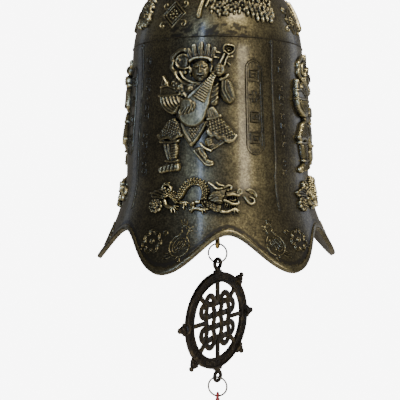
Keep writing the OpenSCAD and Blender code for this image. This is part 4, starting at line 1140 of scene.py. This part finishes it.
# Shoulder ornament: a lozenge of two lines round a rosette, with a curl at each side,
# cast over each panel's left.
lozenge_a = -19.5
lozenge_s = 26.2
lozenge_r = 42.5
for turn in range(4):
    wax = Relief(18, 16, step=0.2)
    for half in (6.3, 4.6):
        wax.stroke([(0, half), (half, 0), (0, -half), (-half, 0), (0, half)], 1.0, 0.6, 0.1, smooth=False,
                   flat=0.4)
    for petal in range(8):
        swing = math.pi / 4 * petal
        wax.dome((1.9 * math.cos(swing), 1.9 * math.sin(swing)), (0.62, 0.62), 0.6, 0.1)
    for quarter in range(4):
        curl = [(r * math.cos(t), r * math.sin(t)) for r,
                t in zip(np.linspace(2.1, 0.3, 9), np.linspace(-2.2, 3.6, 9))]
        x, y = (5.6 if quarter in (0, 3) else -5.6), (5.0 if quarter < 2 else -5.0)
        wax.stroke([(x + u * (1 if x > 0 else -1), y + v * (1 if y > 0 else -1)) for u, v in curl], 0.85,
                   0.6, 0.1)
    wax.dome((0, 0), (0.8, 0.8), 0.9, 0.1)
    cast_relief("shoulder_lozenge_%d" % turn, wax, 90 * turn + lozenge_a, lozenge_s, lozenge_r,
                settle=0.12, worn=0.5)

# ---------------------------------------------------------------------------
# Crown fittings: the hanging loop is one brass casting whose stud goes down through the crown; a
# steel washer and a brass nut hold it inside, and an eye nut on the stud's end carries the clapper.


def turned_metal(name, light, dark, roughness, grain):
    """Machined or cast metal that has dulled: two tones in patches, over fine marks grain mm apart."""
    material, shader = new_material(name)
    place = add(material, "ShaderNodeTexCoord").outputs["Object"]
    patches = add(material, "ShaderNodeTexNoise", {"Scale": 180.0, "Detail": 5.0, "Roughness": 0.65},
                  {0: place})
    marks = add(material, "ShaderNodeTexNoise", {"Scale": 1000 / grain, "Detail": 2.0}, {0: place})
    tone = add(material, "ShaderNodeValToRGB", links={0: patches.outputs["Fac"]})
    tone.color_ramp.elements[0].position, tone.color_ramp.elements[0].color = 0.32, linear(dark)
    tone.color_ramp.elements[1].position, tone.color_ramp.elements[1].color = 0.66, linear(light)
    worn = add(material, "ShaderNodeMapRange", {"To Min": roughness + 0.12, "To Max": roughness - 0.06},
               {0: patches.outputs["Fac"]})
    bump = add(material, "ShaderNodeBump", {"Strength": 0.4, "Distance": 0.00008},
               {"Height": marks.outputs["Fac"]})
    material.node_tree.links.new(tone.outputs[0], shader.inputs["Base Color"])
    material.node_tree.links.new(worn.outputs[0], shader.inputs["Roughness"])
    material.node_tree.links.new(bump.outputs[0], shader.inputs["Normal"])
    shader.inputs["Metallic"].default_value = 1.0
    return material


yellow_brass = turned_metal("dulled_yellow_brass", "#c2a968", "#6e5a30", 0.34, 0.4)
zinc_steel = turned_metal("zinc_plated_steel", "#b9bcc0", "#74777c", 0.3, 0.3)


def bevelled(bm, width, segments=2, sharper_than=25):
    """Round off every edge whose faces meet at more than an angle."""
    edges = [edge for edge in bm.edges
             if edge.is_manifold and math.degrees(edge.calc_face_angle()) > sharper_than]
    bmesh.ops.bevel(bm, geom=edges, offset=width, segments=segments, profile=0.5, affect="EDGES",
                    material=-1, clamp_overlap=True)


def tube(outer_r, inner_r, height, steps=48, corner=0.25 * MM):
    """A turned sleeve with rounded corners, standing on its lower face."""
    c = corner
    return turned([(inner_r, c), (inner_r + c, 0), (outer_r - c, 0), (outer_r, c), (outer_r, height - c),
                   (outer_r - c, height), (inner_r + c, height), (inner_r, height - c), (inner_r, c)], steps)


eye_r = 5 * MM
eye_t = 4 * MM
eye_w = 6 * MM
stud_r = 2.5 * MM
flange_r = crown_r - 1
stud_end = 12.8
profile = [(0, -stud_end), (2.1, -stud_end), (2.5, -stud_end + 0.4)]
for thread in range(12):
    z = -stud_end + 0.7 + 0.8 * thread
    profile += [(2.5, z), (2.28, z + 0.3), (2.5, z + 0.6)]
profile += [(2.5, -2.6), (2.5, 0), (flange_r - 0.3, 0), (flange_r, 0.3), (flange_r, 1.5),
            (flange_r - 0.5, 2.0), (flange_r - 1.2, 2.1), (flange_r - 1.6, 2.6), (flange_r - 2.4, 3.0),
            (6.8, 3.1), (5.2, 3.9), (4.0, 4.9), (3.4, 6.2), (3.2, 7.4), (0, 7.4)]
bm = turned([(r * MM, z * MM) for r, z in profile], 72)
bmesh.ops.translate(bm, vec=(0, 0, crown_z * MM), verts=bm.verts)
hoop = turned([(eye_r, -eye_w / 2 + 0.5 * MM), (eye_r + 0.5 * MM, -eye_w / 2),
               (eye_r + 2.4 * MM, -eye_w / 2), (eye_r + 3.5 * MM, -eye_w / 2 + 0.9 * MM),
               (eye_r + eye_t, 0), (eye_r + 3.5 * MM, eye_w / 2 - 0.9 * MM), (eye_r + 2.4 * MM, eye_w / 2),
               (eye_r + 0.5 * MM, eye_w / 2), (eye_r, eye_w / 2 - 0.5 * MM),
               (eye_r, -eye_w / 2 + 0.5 * MM)], 64)
take_in(bm, hoop, about_y)
for side in (-1, 1):
    collar = wire_ring(3.45 * MM, 0.45 * MM, steps=48, sides=10)
    bmesh.ops.translate(collar, vec=(0, 0, (crown_z + 5.6 + 0.7 * side) * MM), verts=collar.verts)
    take_in(bm, collar)
for petal in range(12):
    leaf = bmesh.new()
    bmesh.ops.create_uvsphere(leaf, u_segments=16, v_segments=10, radius=1 * MM)
    bmesh.ops.scale(leaf, vec=(2.3, 1.15, 0.5), verts=leaf.verts)
    take_in(bm, leaf, Matrix.Rotation(math.radians(30 * petal), 4, "Z")
            @ Matrix.Translation((8.1 * MM, 0, (crown_z + 3.0) * MM)))
crown_cast = finish_piece("crown_loop_cast", bm, cast_brass, "bell", sharp=40)
set_crest(crown_cast.data, [0.15] * len(crown_cast.data.vertices))
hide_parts("crown_loop")

washer_z = crown_z - wall - 1.2
bm = tube(stud_r * 2.6, stud_r + 0.3 * MM, 1.2 * MM, corner=0.15 * MM)
bmesh.ops.translate(bm, vec=(0, 0, washer_z * MM), verts=bm.verts)
washer = finish_piece("crown_washer_plated", bm, zinc_steel, "bell")
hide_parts("crown_washer")


def hex_nut(across_corners, bore_r, height):
    """A hexagonal nut: a drilled prism whose corners are chamfered."""
    bm = bmesh.new()
    outer = bmesh.ops.create_circle(bm, segments=48, radius=across_corners / 2)["verts"]
    flat = across_corners / 2 * math.cos(math.radians(30))
    for vert in outer:
        turn = math.atan2(vert.co.y, vert.co.x) % math.radians(60) - math.radians(30)
        vert.co *= flat / math.cos(turn) / vert.co.length
    inner = bmesh.ops.create_circle(bm, segments=48, radius=bore_r)["verts"]
    edges = list({edge for vert in outer + inner for edge in vert.link_edges})
    bmesh.ops.bridge_loops(bm, edges=edges)
    grown = bmesh.ops.extrude_face_region(bm, geom=bm.faces[:])["geom"]
    bmesh.ops.translate(bm, vec=(0, 0, height),
                        verts=[g for g in grown if isinstance(g, bmesh.types.BMVert)])
    bmesh.ops.recalc_face_normals(bm, faces=bm.faces)
    bevelled(bm, 0.25 * MM)
    return bm


nut_z = washer_z - 4
bm = hex_nut(stud_r * 2 * 1.85, stud_r + 0.03 * MM, 4 * MM)
bmesh.ops.translate(bm, vec=(0, 0, nut_z * MM), verts=bm.verts)
nut = finish_piece("crown_nut_brass", bm, yellow_brass, "bell")
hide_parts("crown_nut")

barrel_z = nut_z - 0.4 - 5.2
bm = turned([(0, 0), (3.9 * MM, 0), (4.2 * MM, 0.3 * MM), (4.2 * MM, 4.9 * MM), (3.9 * MM, 5.2 * MM),
             (2.53 * MM, 5.2 * MM), (2.53 * MM, 1.2 * MM), (0, 1.2 * MM)], 48)
hook_r = 3.1 * MM
hook_tube_r = 1.2 * MM
take_in(bm, wire_ring(hook_r, hook_tube_r, steps=48, sides=16),
        Matrix.Translation((0, 0, -hook_r - hook_tube_r + 0.9 * MM)) @ about_x)
bmesh.ops.translate(bm, vec=(0, 0, barrel_z * MM), verts=bm.verts)
eye_nut = finish_piece("eye_nut_brass", bm, yellow_brass, "bell")
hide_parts("eye_nut")

# ---------------------------------------------------------------------------
# Clapper: a bent wire link, a brass rod with an eye at each end, and an iron-dark ball that a
# pressed collar holds on the rod. The tail of the rod comes out below the bell's lip.
pivot_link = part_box("clapper_link")[1][2] - 0.8 * MM
link_r = 5 * MM
bm = wire_ring(link_r, 0.8 * MM, steps=64, sides=16)
bmesh.ops.transform(bm, matrix=Matrix.Translation((0, 0, pivot_link - link_r)) @ about_y, verts=bm.verts)
link = finish_piece("clapper_link_wire", bm, yellow_brass, "link")
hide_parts("clapper_link")

rod_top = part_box("clapper_rod")[1][2]
rod_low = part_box("clapper_rod")[0][2]
top_eye_z = rod_top - 3.6 * MM
end_eye_z = rod_low + 3.1 * MM
shaft_top = top_eye_z - 2.6 * MM
shaft_low = end_eye_z + 2.2 * MM
bm = turned([(0, shaft_low - 0.4 * MM), (0.9 * MM, shaft_low - 0.4 * MM), (1.2 * MM, shaft_low + 0.8 * MM),
             (1.2 * MM, shaft_top - 0.8 * MM), (0.95 * MM, shaft_top + 0.4 * MM),
             (0, shaft_top + 0.4 * MM)], 32)
take_in(bm, wire_ring(2.6 * MM, 1.0 * MM, steps=48, sides=16), Matrix.Translation((0, 0, top_eye_z))
        @ about_x)
take_in(bm, wire_ring(2.2 * MM, 0.9 * MM, steps=48, sides=16), Matrix.Translation((0, 0, end_eye_z))
        @ about_x)
rod = finish_piece("clapper_rod_bent", bm, yellow_brass, "clapper")
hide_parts("clapper_rod")

ball_r = 9.5 * MM
ball_z = (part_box("clapper_ball")[0][2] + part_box("clapper_ball")[1][2]) / 2
bore = 1.22 * MM
arc = [(ball_r * math.cos(t), ball_r * math.sin(t))
       for t in np.linspace(-math.acos(bore / ball_r), math.acos(bore / ball_r), 41)]
bm = turned([*arc, arc[0]], 64)
bmesh.ops.translate(bm, vec=(0, 0, ball_z), verts=bm.verts)
ball_cast = turned_metal("dark_cast_brass", "#8f7d4c", "#3a3120", 0.42, 0.7)
ball = finish_piece("clapper_ball_cast", bm, ball_cast, "clapper")
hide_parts("clapper_ball")

bm = tube(2.6 * MM, bore, 2.4 * MM, corner=0.3 * MM)
bmesh.ops.translate(bm, vec=(0, 0, ball_z - ball_r - 2.4 * MM), verts=bm.verts)
collar = finish_piece("ball_collar_brass", bm, yellow_brass, "clapper")
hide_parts("ball_collar")

# ---------------------------------------------------------------------------
# Jump rings: hard wire bent round and cut, so that the two ends meet at a fine gap, darkened with
# age. One hangs from the clapper's tail, the other carries the tassel.
ring_wire = turned_metal("aged_steel_wire", "#6a5f4c", "#2a241c", 0.36, 0.25)
ring_r = 4.85 * MM
ring_wire_r = 0.45 * MM
for node, body, gap_at in (("upper_ring", "upper_ring", 200), ("lower_ring", "lower_ring", 130)):
    low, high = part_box(node)
    bm = wire_ring(ring_r, ring_wire_r, steps=96, sides=12, sweep=356.5)
    stood = Matrix.Translation((0, 0,
                                (low[2] + high[2]) / 2)) @ about_y @ Matrix.Rotation(math.radians(gap_at),
                                                                                     4, "Z")
    bmesh.ops.transform(bm, matrix=stood, verts=bm.verts)
    jump = finish_piece(node + "_split", bm, ring_wire, body)
    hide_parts(node)

# ---------------------------------------------------------------------------
# Wind catcher: a flat bronze casting like a ship's wheel. Its stepped band carries a worn key
# pattern; knobbed spokes stand out of the band, of which the sixth has broken off. Inside, woven
# straps make an endless knot.


def dark_bronze_finish():
    """Brown-black cast bronze: brown shows at rubbed corners, and the skin is slightly pitted."""
    material, shader = new_material("dark_cast_bronze")
    place = add(material, "ShaderNodeTexCoord").outputs["Object"]
    patches = add(material, "ShaderNodeTexNoise", {"Scale": 220.0, "Detail": 6.0, "Roughness": 0.7},
                  {0: place})
    pits = add(material, "ShaderNodeTexNoise", {"Scale": 1600.0, "Detail": 3.0, "Roughness": 0.7},
               {0: place})
    edge = add(material, "ShaderNodeNewGeometry").outputs["Pointiness"]
    corner = add(material, "ShaderNodeMapRange", {"From Min": 0.52, "From Max": 0.66, "To Max": 0.5},
                 {0: edge}).outputs[0]
    wear = add(material, "ShaderNodeMath", {"operation": "ADD"},
               {0: patches.outputs["Fac"], 1: corner}).outputs[0]
    tone = add(material, "ShaderNodeValToRGB", links={0: wear})
    stops = tone.color_ramp.elements
    stops[0].position, stops[0].color = 0.4, linear("#17130f")
    stops[1].position, stops[1].color = 1.0, linear("#75684c")
    stops.new(0.66).color = linear("#2c261e")
    bump = add(material, "ShaderNodeBump", {"Strength": 0.5, "Distance": 0.00015},
               {"Height": pits.outputs["Fac"]})
    material.node_tree.links.new(tone.outputs[0], shader.inputs["Base Color"])
    material.node_tree.links.new(bump.outputs[0], shader.inputs["Normal"])
    shader.inputs["Metallic"].default_value = 0.6
    shader.inputs["Roughness"].default_value = 0.42
    return material


dark_bronze = dark_bronze_finish()
wheel_r = 24.8
band_r = 19.5
wheel_t = 2.6
catcher_low, catcher_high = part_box("wind_catcher")
catcher_z = (catcher_low[2] + catcher_high[2]) / 2


def block(bm, size, matrix, corner=0.3):
    """A box in mm with rounded edges, placed by a matrix."""
    part = bmesh.new()
    bmesh.ops.create_cube(part, size=1)
    bmesh.ops.scale(part, vec=[side * MM for side in size], verts=part.verts)
    bevelled(part, corner * MM)
    take_in(bm, part, matrix)


def spot(x, z, turn=0.0, y=0.0):
    """A place in the wheel's plane, in mm from its middle, turned clockwise from the top."""
    return Matrix.Rotation(math.radians(turn), 4, "Y") @ Matrix.Translation((x * MM, y * MM, z * MM))


# Band: a raised lip along each edge of both faces, and a sunk floor with the key pattern.
half = wheel_t / 2
floor = half - 0.45
section = [(band_r, -half + 0.3), (band_r + 0.3, -half), (band_r + 0.9, -half), (band_r + 1.2, -floor),
           (wheel_r - 1.5, -floor), (wheel_r - 1.2, -half), (wheel_r - 0.4, -half), (wheel_r, -half + 0.4)]
section += [(r, -y) for r, y in reversed(section)]
bm = turned([(r * MM, y * MM) for r, y in [*section, section[0]]], 144)
bmesh.ops.transform(bm, matrix=about_y, verts=bm.verts)
keys = 44
for key in range(keys):
    for face in (-1, 1):
        turn = 360 / keys * key
        middle = (band_r + wheel_r - 0.3) / 2
        y = face * (floor + 0.02)
        block(bm, (2.0, 0.4, 0.42), spot(0, middle + (0.85 if key % 2 else -0.85), turn, y), 0.1)
        block(bm, (0.42, 0.4, 1.7), spot(0.9, middle, turn, y), 0.1)
        if key % 2:
            block(bm, (0.9, 0.4, 0.4), spot(-0.2, middle - 0.15, turn, y), 0.1)

# Knobs: a stepped root, a ball and a smaller ball, each a little uneven.
for turn in (45, 90, 135, 225, 270):
    knob = turned([(0, -1.2 * MM), (2.9 * MM, -1.2 * MM), (2.9 * MM, 0.4 * MM), (1.8 * MM, 0.9 * MM),
                   (1.7 * MM, 1.3 * MM), (2.15 * MM, 1.9 * MM), (2.2 * MM, 2.6 * MM), (1.8 * MM, 3.4 * MM),
                   (1.15 * MM, 3.8 * MM), (1.5 * MM, 4.3 * MM), (1.5 * MM, 4.9 * MM), (1.0 * MM, 5.6 * MM),
                   (0, 5.8 * MM)], 32)
    bmesh.ops.scale(knob, vec=(1, 0.75, 1), verts=knob.verts)
    take_in(bm, knob, spot(0, wheel_r - 0.2, turn))
    for side in (-1, 1):
        bud = bmesh.new()
        bmesh.ops.create_uvsphere(bud, u_segments=16, v_segments=12, radius=1.05 * MM)
        take_in(bm, bud, spot(2.2 * side, wheel_r + 1.2, turn))

# Hanging eyes on short stems, above and below.
eye_z = 29.2
for turn in (0, 180):
    loop = wire_ring(2.4 * MM, 1.0 * MM, steps=48, sides=14)
    take_in(bm, loop, spot(0, eye_z, turn) @ about_y)
    block(bm, (2.8, 2.2, 3.4), spot(0, wheel_r + 1.0, turn), 0.5)
    block(bm, (5.6, 2.3, 2.0), spot(0, wheel_r + 0.1, turn), 0.6)

# Knot: four straps each way that pass over and under, with loops round the outside.
pitch = 6.0
strap_w = 3.2


def strap(bm, points, weave):
    """A flat strap with rounded corners swept along a plan; weave is its height at each point."""
    part = bmesh.new()
    w, t = strap_w / 2 * MM, 0.62 * MM
    corners = [(-w, -t * 0.4), (-w * 0.7, -t), (w * 0.7, -t), (w, -t * 0.4), (w, t * 0.4), (w * 0.7, t),
               (-w * 0.7, t), (-w, t * 0.4)]
    places = [Vector((x * MM, y * MM, z * MM)) for (x, z), y in zip(points, weave)]
    loops = []
    for i, middle in enumerate(places):
        run = (places[min(i + 1, len(places) - 1)] - places[max(i - 1, 0)]).normalized()
        side = run.cross(Vector((0, 1, 0))).normalized()
        up = side.cross(run)
        loops.append([part.verts.new(middle + side * a + up * b) for a, b in corners])
    for before, after in zip(loops, loops[1:]):
        edges = [part.edges.get(pair) or part.edges.new(pair) for loop in (before, after)
                 for pair in zip(loop, loop[1:] + loop[:1])]
        bmesh.ops.bridge_loops(part, edges=edges)
    for loop in (loops[0], loops[-1]):
        bmesh.ops.contextual_create(part, geom=loop)
    bmesh.ops.recalc_face_normals(part, faces=part.faces)
    take_in(bm, part)


reach = 1.5 * pitch
for way in (0, 1):
    for i in range(4):
        offset = (i - 1.5) * pitch
        points, weave = [], []
        for step in range(49):
            run = -reach - 0.6 + (2 * reach + 1.2) * step / 48
            over = math.cos(math.pi * (run / pitch + 1.5 + i + way))
            points.append((run, offset) if way else (offset, run))
            weave.append(0.42 * over)
        strap(bm, points, weave)
for quarter in range(4):
    c, s = math.cos(math.pi / 2 * quarter), math.sin(math.pi / 2 * quarter)
    for side in (-1, 1):
        points = []
        for step in range(25):
            t = math.radians(-12 + 204 * step / 24)
            x, z = side * pitch + 3.0 * math.cos(t), reach + 1.2 + 3.0 * math.sin(t)
            points.append((x * c + z * s, z * c - x * s))
        strap(bm, points, [0.0] * 25)
    for x, z, turn in ((0, (reach + band_r + 1) / 2, 0), (0, (reach * 1.414 + band_r + 1.2) / 2, 45)):
        length = 2 * (band_r + 0.6 - z)
        block(bm, (2.2, 1.7, length), spot(x, z, 90 * quarter + turn), 0.4)
catcher_turn = Matrix.Rotation(math.radians(61), 4, "Z")
bmesh.ops.transform(bm, matrix=Matrix.Translation((0, 0, catcher_z)) @ catcher_turn, verts=bm.verts)
wheel = finish_piece("wind_catcher_cast", bm, dark_bronze, "catcher", sharp=40)
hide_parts("wind_catcher")
# The wall's crest carries its wear, rough casting skin, and painted highlights and shade.
set_crest(bell.data, bell_wear_and_painted_light)

# ---------------------------------------------------------------------------
# Studio: a pale floor well below the tassel, a white surround, and soft boxes to the left and right.
floor_mesh = bpy.data.meshes.new("studio_floor")
bm = bmesh.new()
bmesh.ops.create_circle(bm, segments=96, radius=0.42, cap_ends=True)
bmesh.ops.translate(bm, vec=(0, 0, -0.42), verts=bm.verts)
bm.to_mesh(floor_mesh)
bm.free()
floor_paint, floor_shader = new_material("matt_white_paint")
floor_shader.inputs["Base Color"].default_value = linear("#e8e6e2")
floor_shader.inputs["Roughness"].default_value = 0.8
floor_mesh.materials.append(floor_paint)
floor_disc = bpy.data.objects.new("studio_floor", floor_mesh)
bpy.context.collection.objects.link(floor_disc)


def soft_box(name, turn, height, reach, size, power, colour):
    """A lamp that hangs at a turn in degrees round from the front and faces the bell's middle."""
    data = bpy.data.lights.new(name, "AREA")
    data.shape = "RECTANGLE"
    data.size, data.size_y = size
    data.energy = power
    data.color = linear(colour)[:3]
    lamp = bpy.data.objects.new(name, data)
    aim = Vector((0, 0, -0.09))
    lamp.location = (reach * math.sin(math.radians(turn)), -reach * math.cos(math.radians(turn)), height)
    lamp.rotation_euler = (aim - lamp.location).to_track_quat("-Z", "Y").to_euler()
    bpy.context.collection.objects.link(lamp)
    return lamp


soft_box("window_strip", -10, 0.02, 1.1, (0.06, 1.2), 7, "#c4dcff")
soft_box("warm_right", 42, 0.0, 1.1, (0.24, 0.36), 4.3, "#fff1d6")
soft_box("overhead", 38, 0.86, 0.7, (0.4, 0.6), 14, "#ffefcf")
soft_box("cool_left", -112, 0.1, 0.9, (0.2, 0.8), 0.35, "#cfe0ff")
soft_box("cool_right", 130, 0.0, 0.9, (0.3, 0.8), 1.0, "#dfe8ff")

world = bpy.data.worlds.new("studio")
world.use_nodes = True
bpy.context.scene.world = world
world.node_tree.nodes.clear()
sky_place = add(world, "ShaderNodeTexCoord")
sky_split = add(world, "ShaderNodeSeparateXYZ", links={0: sky_place.outputs["Generated"]})
sky_ramp = add(world, "ShaderNodeMapRange", {"From Min": -1.0, "From Max": 1.0, "To Min": 0.25,
                                             "To Max": 0.5}, {0: sky_split.outputs["X"]})
room = add(world, "ShaderNodeBackground", {"Color": linear("#d8cfc0")}, {"Strength": sky_ramp.outputs[0]})
paper = add(world, "ShaderNodeBackground", {"Color": (1, 1, 1, 1), "Strength": 8.0})
path = add(world, "ShaderNodeLightPath")
seen = add(world, "ShaderNodeMixShader", links={0: path.outputs["Is Camera Ray"], 1: room.outputs[0],
                                                2: paper.outputs[0]})
add(world, "ShaderNodeOutputWorld", links={"Surface": seen.outputs[0]})
